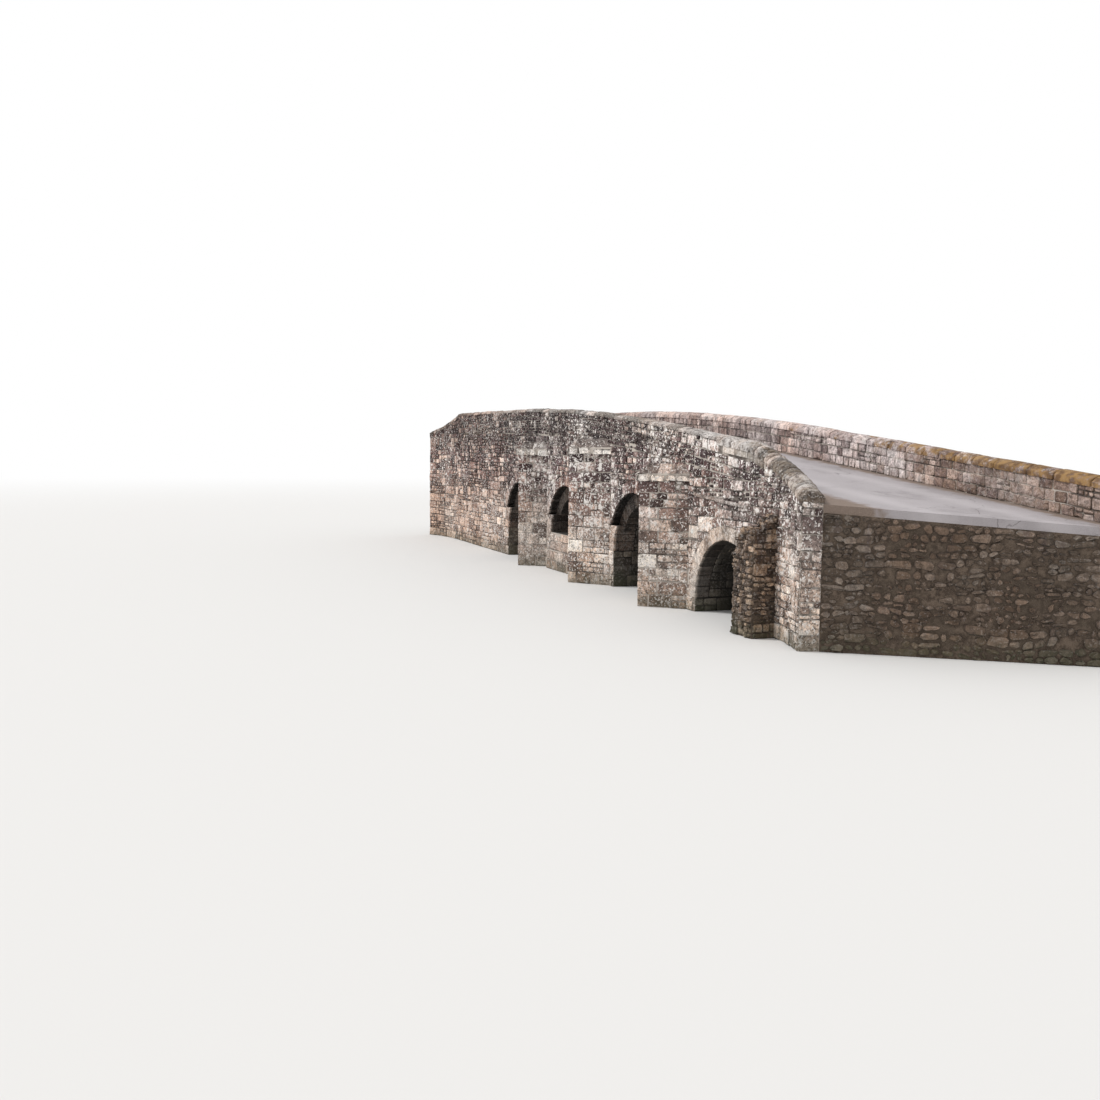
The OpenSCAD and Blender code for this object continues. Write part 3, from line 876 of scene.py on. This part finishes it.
# %% [markdown]
# The wings curve away from the road and their tops fall, so the upper rows fall with them.
# A modifier could bend a finished wall, but it would have to be fitted to the frame. Here
# the face is drawn flat like the others, and its path puts it on the frame's own circle.

# %% Wings
WINGS = {"near_right": (WING_X, -WING_Y, 90, 70), "near_left": (LEFT, -WING_Y, 110, 90),
         "far_left": (LEFT, WING_Y, 270, 250)}
TALLEST = 4.9


def panel(run, foot=0.0, spare=0.0):
    return [(0, 1, foot), *ends(-spare, run + spare)]


def wing(name, hub_x, hub_y, start, end, radius, inside=False):
    run = radius * WING_TURN
    place = curved(hub_x, hub_y, radius, start, end)
    x_of = lambda u: float(place(u, 0.0, 0.0)[0])
    top = lambda u: wing_top(x_of(u))
    ground, look, split = (3.0, SQUARED, 9.0) if inside else (0.0, BIG, 2.3)
    stones = []
    for low, high in pairs(courses(ground, TALLEST, look)):
        stones += rubble(0, run, (low, high), BIG if low < split else SMALL)

    def trims(u, v):
        x = x_of(u)
        lid = float(top(u)) - (BAND_H if not inside and WING_X < x < BAND_X[1] else 0)
        cuts = panel(run, float(road_z(x)) if inside else 0.0)
        cuts.append(under(slope_of(top, u, 0.1), u, lid))
        reach = math.hypot(x - FLOOD_X, v - FLOOD_Z)
        if not inside and x > 0 and reach < FLOOD_OUT + 0.5:
            nx, nz = (x - FLOOD_X) / reach, (v - FLOOD_Z) / reach
            cuts.append((nx, nz, nz * v + nx * u + FLOOD_OUT - reach))
        return cuts

    finish = inner_face_stone if inside else wall_stone
    return rock_faced(name, outlines(stones, trims), place, finish, "wall_stone")


for side, (x, y, start, end) in WINGS.items():
    wing(f"wing_face_{side}", x, y, start, end, WING_R)
for side, (x, y, start, end) in WINGS.items():
    wing(f"wing_inside_{side}", x, y, end, start, WING_R + WALL, True)

# %% [markdown]
# At both ends the bridge is cut off where the lane goes on. Those faces show what is held
# behind the walls, loose stones packed in brown earth, so their stones are rounder, set
# wide apart and never in courses. The wall ends get blocks as wide as the wall.

# %% End faces
LOOSE = {"rows": (0.0, 0.6, 0.4), "height": (0.22, 0.36)}


def end_face(name, x0, y0, x1, y1, top):
    run = math.hypot(x1 - x0, y1 - y0)
    core = name in ("end_right", "end_left")
    look = LOOSE if core else BIG

    def trims(u, v):
        slope = (float(top(x1)) - float(top(x0))) / run
        return panel(run) + [under(slope, u, float(top(x0 + (x1 - x0) * u / run)))]

    stones = rubble(0, run, courses(0, TALLEST, look), look)
    if core:
        stones = [stone for stone in stones if dice.uniform() < 0.9]
        shapes = outlines(stones, trims, loose=0.035, gap=0.012, corner=0.05, wander=3.0)
        rock_faced(name, shapes, straight(x0, y0, x1, y1), core_stone, "rubble_fill",
                   proud=0.022, rough=0.007, tip=0.09)
    else:
        rock_faced(name, outlines(stones, trims), straight(x0, y0, x1, y1), wall_stone,
                   "wall_stone", proud=0.015, rough=0.0045, tip=0.09)


def wing_end(hub_x, hub_y, angle):
    a = math.radians(angle)
    return [(hub_x + r * math.cos(a), hub_y + r * math.sin(a)) for r in (WING_R, WING_R + WALL)]


near_out, near_in = wing_end(WING_X, -WING_Y, 70)
left_out, left_in = wing_end(LEFT, -WING_Y, 110)
road_bed = lambda x: road_z(x) - 0.15
end_face("end_right", *near_in, FAR_END, INSIDE, road_bed)
end_face("end_wing_right", *near_out, *near_in, wing_top)
end_face("end_far_right", FAR_END, INSIDE, FAR_END, HALF, lambda x: road_z(x) + PARAPET)
end_face("end_left", left_in[0], -left_in[1], *left_in, road_bed)
end_face("end_wing_near_left", *left_in, *left_out, wing_top)
end_face("end_wing_far_left", left_out[0], -left_out[1], left_in[0], -left_in[1], wing_top)

# %% [markdown]
# The cutwaters are built of larger blocks. At the nose each course has one wedge-shaped
# stone that turns the corner, long on one side and short on the other by turns. Those are
# drawn in plan, extruded to their course height, and all their edges are bevelled, because
# a cut stone keeps a crisp arris where rubble is worn round.

# %% Cut stones with bevelled edges
def cut_stones(name, shapes, spans, place, material, slot, bevel=0.012, rough=0.002,
               tones=None):
    piece = drawn(name, shapes)
    with edit_mode(piece):
        extruded(1)
    _, owner, p = stones_of(piece.data)
    spans = np.array(spans)
    p[:, 2] = np.where(p[:, 2] > 0.5, spans[owner, 1], spans[owner, 0])
    piece.data.vertices.foreach_set("co", p.ravel())
    with edit_mode(piece):
        bpy.ops.mesh.bevel(offset=bevel, segments=2, affect="EDGES", clamp_overlap=True)
    _, owner, p = stones_of(piece.data)
    held(p, owner, shapes)
    p += dice.normal(0, rough, p.shape)
    tones = dice.uniform(0, 1, len(shapes)) if tones is None else np.array(tones)
    return laid(piece, place(*p.T), np.full(len(p), 0.3), tones, material, slot)


print("cut stones ready")

# %% Cutwaters
EAVES_TALL = 0.1
PLAN = lambda u, v, d: np.stack([u, v, d], -1)


def cutwater(name, foot_l, nose, foot_r, out, crown, side):
    levels = courses(0, crown - EAVES_TALL, BIG)
    flanks = {"a": ((foot_l, HALF), (nose, HALF + out)), "b": ((nose, HALF + out), (foot_r, HALF))}
    faces = []
    for key, ((x0, y0), (x1, y1)) in flanks.items():
        run = math.hypot(x1 - x0, y1 - y0)
        stones = []
        for k, level in enumerate(pairs(levels)):
            arm = 0.46 if (k % 2 == 0) == (key == "a") else 0.26
            left, right = (0, run - arm) if key == "a" else (arm, run)
            stones += rubble(left, right, level, BIG)
        shapes = outlines(stones, lambda u, v: panel(run) + [(0, -1, EAVES_TALL - crown)])
        if side > 0:
            shapes = [[(run - u, v) for u, v in reversed(shape)] for shape in shapes]
            faces.append((shapes, straight(x1, y1, x0, y0)))
        else:
            faces.append((shapes, straight(x0, -y0, x1, -y1)))
    for key, (shapes, path) in zip("ab", faces):
        rock_faced(f"{name}_{key}", shapes, path, wall_stone, "pier_stone", proud=0.014)
    quoins, spans = [], []
    tip = np.array([nose, HALF + out + 0.014])
    for k, (low, high) in enumerate(pairs(levels)):
        arms = (0.45, 0.25) if k % 2 == 0 else (0.25, 0.45)
        left, right = (tip + np.array([foot - nose, -out]) / math.hypot(foot - nose, out) * arm
                       for arm, foot in zip(arms, (foot_l, foot_r)))
        quoins.append([(x, side * y) for x, y in (tip, left, tip - (0, 0.3), right)])
        spans.append((low + 0.006, high - 0.006))
    cut_stones(f"{name}_quoins", quoins, spans, PLAN, wall_stone, "pier_stone", 0.016, 0.004)


for k, spec in enumerate(CUTWATERS):
    cutwater(f"cutwater_stones_near_{k + 1}", *spec, -1)
    cutwater(f"cutwater_stones_far_{k + 1}", *spec, 1)

# %% [markdown]
# Under the arches the masonry is damp, and its colour is darkened further as painted shade.
# Each vault is drawn unrolled, across the bridge one way and up and over the other, and its
# path rolls it back to a half circle. That way the helpers for walls build it as they stand.

# %% Vaults and their side walls
def vault(name, cx, cz, radius, across):
    arc = math.pi * radius

    def roll(u, v, d):
        angle, reach = v / radius, radius - d
        return np.stack([cx - reach * np.cos(angle), u, cz + reach * np.sin(angle)], -1)

    stones = rubble(-across, across, courses(0, arc, {"height": (0.16, 0.24)}), SQUARED)
    shapes = outlines(stones, lambda u, v: ends(-across, across) + [(0, 1, 0), (0, -1, -arc)],
                      wander=0.3)
    rock_faced(name, shapes, roll, vault_stone, "dressed_stone", proud=0.008, rough=0.003)
    for side, path in (("l", straight(cx - radius, 0, cx - radius, 1)),
                       ("r", straight(cx + radius, 0, cx + radius, -1))):
        stones = rubble(-HALF, HALF, courses(0, cz, BIG), BIG)
        shapes = outlines(stones, lambda u, v: ends(-HALF, HALF) + [(0, 1, 0), (0, -1, -cz)])
        rock_faced(f"{name}_{side}", shapes, path, vault_stone, "pier_stone", proud=0.010)


for k, bay in enumerate(BAYS):
    vault(f"vault_{k + 1}", bay, SPRING, CLEAR, 1.62)
vault("vault_flood", FLOOD_X, FLOOD_Z, FLOOD_CLEAR, 1.85)

# %% [markdown]
# Each large arch has two rings of wedge-shaped stones. The inner ring stands back a hand's
# breadth and turns down to the springing. The outer one is flush with the wall and starts
# at the shoulders. One stone spun round the centre would make all joints alike, so each is
# drawn on the face by itself, extruded into the wall and bevelled.

# %% Arch rings
def ring(cx, cz, r0, r1, start, end, width, front, depth, way, lid=NEVER, foot=0):
    many = max(1, round(math.radians(end - start) * r0 / width))
    joints = np.linspace(start, end, many + 1)
    joints[1:-1] += dice.uniform(-0.9, 0.9, many - 1)
    gap = math.degrees(0.005 / r0)
    for a, b in pairs(joints):
        a, b = math.radians(a + gap), math.radians(b - gap)
        mid, back = (a + b) / 2, r1 + dice.uniform(-0.012, 0.014)
        shape = [(r0, b), (r0, mid), (r0, a), (back, a), (back, mid), (back, b)]
        shape = [(way * (cx + r * math.cos(t)), cz + r * math.sin(t)) for r, t in shape]
        shape = keep(keep(shape[::-1] if way > 0 else shape, 0, -1, -lid), 0, 1, foot)
        if big_enough(shape, 0.03):
            yield shape, (front - depth, front + dice.uniform(-0.004, 0.006))


def rings(side, place, way):
    inner, outer, bed = (math.degrees(math.asin((SHOULDER - SPRING) / radius))
                         for radius in (INNER, OUTER, CLEAR))
    for k, bay in enumerate(BAYS):
        circle = (bay, SPRING, CLEAR - 0.008, INNER)
        stones = [*ring(*circle, inner, 180 - inner, 0.24, -RECESS + 0.012, 0.34, way)]
        for start in (0, 180 - bed):
            stones += ring(*circle, start, start + bed, 0.27, 0.014, 0.58, way, SHOULDER)
        cut_stones(f"inner_ring_{side}_{k + 1}", *zip(*stones), place, inner_ring_stone,
                   "dressed_stone", 0.010, 0.003, dice.uniform(0.05, 0.6, len(stones)))
        stones = [*ring(bay, SPRING, INNER - 0.006, OUTER, outer, 180 - outer, 0.18, 0.016,
                        0.25, way, foot=SHOULDER + 0.004)]
        cut_stones(f"outer_ring_{side}_{k + 1}", *zip(*stones), place, outer_ring_stone,
                   "ring_stone", 0.010, 0.006, dice.uniform(0, 0.72, len(stones)))
    stones = [*ring(FLOOD_X, FLOOD_Z, FLOOD_CLEAR - 0.008, FLOOD_OUT, 0, 180, 0.26, 0.018,
                    0.36, way)]
    cut_stones(f"flood_ring_{side}", *zip(*stones), place, flood_ring_stone, "dressed_stone",
               0.014, 0.003, dice.uniform(0.15, 0.75, len(stones)))


rings("near", NEAR, 1)
rings("far", FAR, -1)

# %% [markdown]
# Every cutwater ends in a cap. A course of thin slabs juts out as eaves, and on it stands a
# row of steeply sloping stones round a nearly flat top of broad slabs. All are drawn in
# plan along each flank, split where the two flanks meet above the nose.

# %% The sides and the top of a cap
OVER, RISE, LIP, SLOPING = 0.055, 0.225, 0.025, 0.25
BACK = HALF - 0.02


def strip(nose, start, along, inward, q0, q1, cuts, gap):
    hand = 1 if along[0] > 0 else -1
    for s0, s1 in pairs(cuts):
        shape = [tuple(start + along * s + inward * q)
                 for s, q in ((s0, q0), (s1, q0), (s1, q1), (s0, q1))]
        shape = keep(shape if hand < 0 else shape[::-1], 0, 1, BACK)
        shape = keep(shape, hand, 0, hand * nose) if len(shape) > 2 else []
        shape = open_joint(shape, gap) if len(shape) > 2 else []
        if big_enough(shape):
            yield shape


def top_slabs(foot_l, nose, foot_r, out):
    flat = 1 - SLOPING
    outline = [(nose - (nose - foot_l + OVER) * flat, BACK),
               (nose + (foot_r + OVER - nose) * flat, BACK), (nose, HALF + (out + OVER) * flat)]
    split = HALF + out * dice.uniform(0.28, 0.36)
    for low, high, hands in ((0, split, (1, -1)), (split, 9, (0,))):
        row = keep(keep(outline, 0, 1, low), 0, -1, -high)
        middle = nose + dice.uniform(-0.14, 0.14)
        for hand in hands:
            slab = open_joint(keep(row, hand, 0, hand * middle) if hand else row, 0.006)
            if big_enough(slab):
                yield knock_corners(slab, 0.03)


def owner_of(shapes, u, v):
    best, owner = np.full(len(u), 1e9), np.zeros(len(u), int)
    for k, shape in enumerate(shapes):
        worst = np.full(len(u), -1e9)
        for a, b in around(shape):
            run = max(math.dist(a, b), 1e-6)
            nu, nv = (b[1] - a[1]) / run, (a[0] - b[0]) / run
            worst = np.maximum(worst, nu * (u - a[0]) + nv * (v - a[1]))
        better = worst < best
        best[better], owner[better] = worst[better], k
    return owner


print("a cap's slope rises", RISE, "m and its eaves jut out", OVER, "m")

# %% Caps of the cutwaters
def cap(name, foot_l, nose, foot_r, out, crown, side):
    eaves, eave_spans, sides, planes = [], [], [], []
    start, beyond = np.array([nose, HALF + out + OVER]), out + OVER
    for foot in (foot_l - OVER, foot_r + OVER):
        hand, reach = (1 if foot > nose else -1), abs(foot - nose)
        run = math.hypot(reach, beyond)
        along = np.array([hand * reach, -beyond]) / run
        inward = np.array([-hand * beyond, -reach]) / run
        deep = SLOPING * (reach * beyond / run)
        cuts = np.array([-0.4, 0.32, 0.70, run + 0.4]) + dice.uniform(-0.08, 0.08, 4)
        brink = dice.uniform(-0.06, -0.03)
        for shape in strip(nose, start, along, inward, brink, 0.34, cuts, 0.010):
            eaves.append(knock_corners(shape, 0.06))
            bottom = crown - EAVES_TALL - dice.uniform(0.0, 0.025)
            eave_spans.append((bottom, crown + dice.uniform(0.0, 0.07)))
        cuts = np.array([-0.5, 0.24, 0.52, 0.80, run + 0.4]) + dice.uniform(-0.06, 0.06, 5)
        for shape in strip(nose, start, along, inward, 0.022, deep + 0.02, cuts, 0.004):
            sides.append(shape)
            planes.append((inward, RISE / deep))
    tops = list(top_slabs(foot_l, nose, foot_r, out))
    top_spans = [(crown + 0.12, crown + 0.25 + dice.uniform(0.0, 0.03)) for _ in tops]

    def lean(u, v, d):
        owner, z = owner_of(sides, u, v), np.empty(len(u))
        for k, (inward, grade) in enumerate(planes):
            here = owner == k
            q = (u[here] - start[0]) * inward[0] + (v[here] - start[1]) * inward[1]
            z[here] = crown + LIP + grade * q + d[here]
        return np.stack([u, v * side, z], -1)

    upright = lambda u, v, d: np.stack([u, v * side, d], -1)
    cut_stones(f"{name}_eaves", eaves, eave_spans, upright, eaves_stone, "dressed_stone",
               0.034, 0.013, dice.uniform(0.3, 1.0, len(eaves)))
    cut_stones(f"{name}_sides", sides, [(-0.06, 0.016)] * len(sides), lean, cap_stone,
               "dressed_stone", 0.012, 0.005)
    cut_stones(f"{name}_tops", tops, top_spans, upright, cap_stone, "dressed_stone",
               0.028, 0.008)


for k, spec in enumerate(CUTWATERS):
    cap(f"cap_near_stones_{k + 1}", *spec, -1)
    cap(f"cap_far_stones_{k + 1}", *spec, 1)

# %% [markdown]
# The coping is a row of stones with rounded backs. On the left they are rough and all of
# different lengths. Two or three long dressed ones stand at the start of the right wing,
# and round the wing they are narrow and set on edge. Each is one profile, extruded four
# times along its length, and its end rings are drawn in for the worn arris. A curve with a
# bevel profile would be quicker, but it would be one long bar without joints.

# %% A coping stone's profile, and the line it is set on
def coping_profile(width, edge, height, lift, many=9):
    half = width / 2
    radius = (half ** 2 + (height - edge) ** 2) / (2 * (height - edge))
    half_angle = math.asin(min(1.0, half / radius))
    arc = [(radius * math.sin(a), height - radius + radius * math.cos(a))
           for a in np.linspace(half_angle, -half_angle, many)]
    foot = lift - 0.02
    return [(-half + lift, -0.02), (half - lift, -0.02), (half - 0.6 * lift, foot),
            (half, foot)] + arc + [(-half, foot), (-half + 0.6 * lift, foot)]


def coping_line(side, right_wing):
    def place(s, across, up):
        left_s, right_s = s < LEFT, s > (WING_X if right_wing else NEVER)
        bent, way = left_s | right_s, np.where(left_s, -1.0, 1.0)
        arc = np.where(left_s, LEFT - s, np.where(right_s, s - WING_X, 0.0)) / WING_MID
        hub, reach = np.where(left_s, LEFT, WING_X), WING_MID - across
        x = np.where(bent, hub + way * reach * np.sin(arc), s)
        y = np.where(bent, WING_Y - reach * np.cos(arc), HALF - WALL / 2 + across)
        top = wing_top(hub + way * WING_MID * np.sin(arc))
        return np.stack([x, side * y, np.where(bent, top, road_z(s) + PARAPET) + up], -1)

    return place


print("a coping stone's profile has", len(coping_profile(0.45, 0.09, 0.165, 0.002)), "points")

# %% Coping stones
def coping(name, side, right_wing, runs, material, node):
    joints = [joint for row, _ in runs for joint in row[:-1]] + runs[-1][0][-1:]
    styles = [style for row, style in runs for _ in row[:-1]]
    shapes = [coping_profile(*style[:4]) for style in styles]
    spans = np.array([(a + 0.008, b - 0.008) for a, b in pairs(joints)])
    piece = drawn(name, shapes)
    with edit_mode(piece):
        for step in range(4):
            extruded(1)
    _, owner, p = stones_of(piece.data)
    step = np.rint(p[:, 2]).astype(int)
    share = np.array([0.0, 0.0, 0.5, 1.0, 1.0])[step]
    inset = np.array([0.0, 0.018, 0.0, -0.018, 0.0])[step]
    tips = (step == 0) | (step == 4)
    centre = np.array([0.0, 0.05])
    p[:, :2] = np.where(tips[:, None], centre + (p[:, :2] - centre) * 0.86, p[:, :2])
    rough = np.array([style[4] for style in styles])[owner]
    raised = dice.normal(0, 0.5, len(shapes))[owner] * rough
    p[:, 1] += np.where(p[:, 1] > 0.02, raised, 0.0)
    p[:, :2] += dice.normal(0, 0.35, (len(p), 2)) * rough[:, None]
    s = spans[owner, 0] + share * (spans[owner, 1] - spans[owner, 0]) + inset
    s = s + dice.normal(0, 0.2, len(p)) * rough
    tones = np.array([dice.uniform(*style[5:]) for style in styles])
    points = coping_line(side, right_wing)(s, p[:, 0] * side, p[:, 1])
    laid(piece, points, np.where(tips, 1.0, 0.0), tones, material, "coping_stone", 50)
    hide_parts(node)


def joints_between(start, end, least, most):
    cuts = [start]
    while cuts[-1] < end:
        cuts.append(cuts[-1] + dice.uniform(least, most))
    cuts = np.array(cuts)
    return list(start + (cuts - start) * (end - start) / (cuts[-1] - start))


print("the coping's line is", round(WING_MID, 2), "m from the middle of a wing's curve")

# %% The two rows of coping
# Width, height of the edge and of the back, lift of the rough foot, roughness, and tones.
PLAIN = (0.45, 0.09, 0.165, 0.002, 0.014, 0.0, 0.9)
ROUGH = (0.45, 0.115, 0.175, 0.09, 0.012, 0.3, 0.9)
LONG = (0.46, 0.085, 0.185, 0.001, 0.004, 0.6, 0.85)
EDGE = (0.45, 0.07, 0.19, 0.001, 0.012, 0.3, 1.0)
FAIR = (0.45, 0.07, 0.17, 0.001, 0.008, 0.0, 1.0)
ARC, EDGE_END = WING_TURN * WING_MID, 10.2
left_row = joints_between(LEFT - ARC, LEFT, 0.22, 0.34)
near_runs = [(left_row, PLAIN), (joints_between(LEFT, SLAB_END, 0.34, 0.78), ROUGH),
             (joints_between(SLAB_END, WING_X, 0.42, 0.56), LONG),
             (joints_between(WING_X, EDGE_END, 0.12, 0.21), EDGE),
             (joints_between(EDGE_END, WING_X + ARC, 0.22, 0.34), EDGE)]
coping("coping_near_stones", -1, True, near_runs, coping_stone, "coping_near")
far_runs = [(left_row, FAIR), (joints_between(LEFT, FAR_END, 0.5, 0.95), FAIR)]
coping("coping_far_stones", 1, False, far_runs, far_coping_stone, "coping_far")

# %% [markdown]
# A few single features belong to this wall. Under the long coping stones runs a band of
# smooth ashlar. Two courses of thin slabs stand proud above the flood arch, and a low
# wall of big blocks with a step closes the foot of the second arch.

# %% Ashlar band
def box_stones(cuts, low, high, gap=0.005):
    return [[(a + gap, low + gap), (b - gap, low + gap), (b - gap, high - gap),
             (a + gap, high - gap)] for a, b in pairs(cuts)]


def band_place(u, v, d):
    flat_part = NEAR(u, v, d)
    bent_part = curved(WING_X, -WING_Y, WING_R, 90, 70)(u - WING_X, v, d)
    top = np.where(u < WING_X, road_z(u) + PARAPET, wing_top(bent_part[:, 0]))
    p = np.where((u < WING_X)[:, None], flat_part, bent_part)
    p[:, 2] = top + v
    return p


band = box_stones((BAND_X[0], 7.66, 8.2, BAND_X[1]), -BAND_H, -0.002)
cut_stones("ashlar_band", band, [(-0.03, 0.024)] * len(band), band_place, dressed,
           "dressed_stone", 0.008, 0.0015)


# %% Ledges and the block behind the plate
def slope_row(x0, z0, x1, z1, tall, many):
    cuts = np.linspace(x0, x1, many + 1)
    cuts[1:-1] += dice.uniform(-0.08, 0.08, many - 1)
    level = lambda x: z0 + (z1 - z0) * (x - x0) / (x1 - x0)
    return [[(a + 0.004, level(a) - tall), (b - 0.004, level(b) - tall), (b - 0.004, level(b)),
             (a + 0.004, level(a))] for a, b in pairs(cuts)]


ledges = slope_row(5.9, 2.65, 8.29, 2.48, 0.07, 5) + slope_row(7.7, 2.33, 8.28, 2.265, 0.07, 1)
ledge_spans = [(-0.05, 0.048 + dice.uniform(-0.006, 0.008)) for _ in ledges]
ledge = cut_stones("ledge_slabs", ledges, ledge_spans, NEAR, ledge_stone, "dressed_stone",
                   0.012, 0.004)
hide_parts("ledge_course")
plate_block = box_stones(PLATE_BLOCK[:2], *PLATE_BLOCK[2:])
cut_stones("plate_block", plate_block, [(-0.03, 0.007)], NEAR, dressed, "wall_stone",
           0.012, 0.002, [0.9])

# %% Sill of the second arch
sill_x = BAYS[1] + np.array([-CLEAR, -0.55, 0.2, 0.75, CLEAR])
step_x = BAYS[1] + np.array([-CLEAR, -0.25, 0.5, CLEAR])
sill = box_stones(sill_x, 0.56, 0.83) + box_stones(step_x, 0.83, 1.075)
step = box_stones(step_x, 0.0, 0.28) + box_stones(sill_x, 0.28, 0.555)
sill_spans = [(-0.46, 0.012)] * len(sill) + [(-0.03, 0.132)] * len(step)
cut_stones("sill_stones", sill + step, sill_spans, NEAR, wall_stone, "pier_stone", 0.018, 0.008)

# %% [markdown]
# Right of the flood arch a ragged stub of older masonry leans on the wall. Nothing in it is
# straight any more, so it is faced with loosely set stones, and broken pieces are heaped
# over its sloping top. One cube, bevelled and subdivided, is the start for all the pieces.

# %% Ragged stub
STUB = {"rows": (0.04, 0.56, 0.4), "height": (0.2, 0.3)}
STUB_L, STUB_R, STUB_Y = 8.85, 9.6, -HALF - 0.62


def stub_side(name, x0, y0, x1, y1, top):
    run = math.hypot(x1 - x0, y1 - y0)
    stones = rubble(0, run, courses(0, 2.5, STUB), STUB)
    trims = lambda u, v: panel(run, 0, 0.03) + [under(slope_of(top, u, 0.05), u, top(u))]
    rock_faced(name, outlines(stones, trims, loose=0.018, gap=0.008), straight(x0, y0, x1, y1),
               broken_stone, "rough_stone", proud=0.03, rough=0.008, tip=0.1)


def shelf(u):
    return 1.55 + 0.37 * min(u / 0.17, 1) if u < 0.17 else min(1.92 + 1.6 * (u - 0.17), 2.15)


stub_side("stub_front", STUB_L, STUB_Y, STUB_R, STUB_Y, shelf)
stub_side("stub_left", STUB_L, -HALF, STUB_L, STUB_Y, lambda u: 1.55)
stub_side("stub_right", STUB_R, STUB_Y, STUB_R, -HALF, lambda u: 2.0 + 0.4 * u / 0.62)

# %% Broken pieces on the stub
def broken_heap(name, where, material, slot):
    bpy.ops.object.select_all(action="DESELECT")
    bpy.ops.mesh.primitive_cube_add(size=1, location=(0, 0, 0))
    lump = bpy.context.object
    with edit_mode(lump):
        bpy.ops.mesh.bevel(offset=0.16, segments=1, affect="EDGES")
        bpy.ops.mesh.subdivide(number_cuts=1, smoothness=0.2)
    shape = np.array([v.co for v in lump.data.vertices])
    sides = [list(p.vertices) for p in lump.data.polygons]
    bpy.data.objects.remove(lump)
    points, faces, numbers = [], [], []
    for k, (at, size, spin) in enumerate(where):
        body = shape * size + dice.normal(0, 0.007, shape.shape)
        turned = Matrix.Rotation(spin[0], 3, "Z") @ Matrix.Rotation(spin[1], 3, "X")
        points += list(map(tuple, body @ np.array(turned).T + at))
        faces += [[i + k * len(shape) for i in side] for side in sides]
        numbers += [k] * len(sides)
    piece = numbered(name, points, faces, numbers)
    p = stones_of(piece.data)[2]
    return laid(piece, p, np.zeros(len(p)), dice.uniform(0, 1, len(where)), material, slot, 50)


heap = []
for k in range(70):
    x, y = dice.uniform(8.86, 9.58), dice.uniform(-0.60, -0.03)
    shelf_z = (1.9 if x > 9.02 else 1.62) + 0.9 * max(x - 9.02, 0)
    z = 2.36 - 0.7 * max(-y - 0.1, 0) if x > 9.3 else shelf_z
    z = min(z, 2.4 - 0.7 * max(-y - 0.14, 0)) - 0.03
    size = dice.uniform((0.12, 0.1, 0.06), (0.28, 0.2, 0.13))
    heap.append(((x, -HALF + y, z), size, (dice.uniform(-0.6, 0.6), dice.uniform(-0.2, 0.2))))
broken_heap("stub_heap", heap, broken_stone, "rough_stone")

# %% [markdown]
# The bridge stands on a plain pale floor, in soft white light from all round. One broad
# lamp from the upper left gives the stones their shadows. The white behind comes from the
# world as the camera sees it, so it adds no light.

# %% Floor
WHITE = (1.0, 1.0, 1.0, 1)
bpy.ops.object.select_all(action="DESELECT")
bpy.ops.mesh.primitive_circle_add(vertices=96, radius=260, fill_type="NGON", location=(0, 0, 0))
floor = bpy.context.object
floor.name = "floor"
ground = Finish("floor_paper", Roughness=0.9, Base_Color=(0.68, 0.67, 0.655, 1))
away = ground.node("ShaderNodeVectorMath", {"operation": "LENGTH"}, {0: ground.place()}, out=1)
glow = ground.node("ShaderNodeEmission", {}, {"Color": WHITE, "Strength": 1.0})
fade = ground.node("ShaderNodeMixShader", {}, {0: ground.span(away, 30.0, 110.0),
                                               1: Wire(ground, ground.shader.outputs[0]),
                                               2: glow})
ground.feed(ground.tree.nodes["Material Output"].inputs["Surface"], fade)
paint(floor, ground.material)
print("floor of", len(floor.data.vertices), "corners")

# %% World and lamp
SKY_LIGHT, SUN_LIGHT, SUN_WIDTH = 0.80, 1.9, math.radians(14)
world = bpy.data.worlds.new("studio")
bpy.context.scene.world = world
world.use_nodes = True
sky = Nodes(world.node_tree)
light = sky.tree.nodes["Background"]
light.inputs["Color"].default_value = WHITE
light.inputs["Strength"].default_value = SKY_LIGHT
paper = sky.node("ShaderNodeBackground", {}, {"Color": WHITE, "Strength": 1.0})
camera_ray, glossy_ray, clear_ray = (
    sky.node("ShaderNodeLightPath", out=f"Is {kind} Ray")
    for kind in ("Camera", "Glossy", "Transmission"))
seen = camera_ray.most(glossy_ray).most(clear_ray)
pick = sky.node("ShaderNodeMixShader", {}, {0: seen, 1: Wire(sky, light.outputs[0]), 2: paper})
sky.feed(sky.tree.nodes["World Output"].inputs["Surface"], pick)

bpy.ops.object.light_add(type="SUN", location=(0, -20, 30))
lamp = bpy.context.object
lamp.name = "lamp"
lamp.data.energy, lamp.data.angle = SUN_LIGHT, SUN_WIDTH
lamp.rotation_euler = Vector((0.35, 0.62, -0.9)).to_track_quat("-Z", "Y").to_euler()
bpy.context.scene.view_settings.view_transform = "Standard"
print("world and lamp ready")
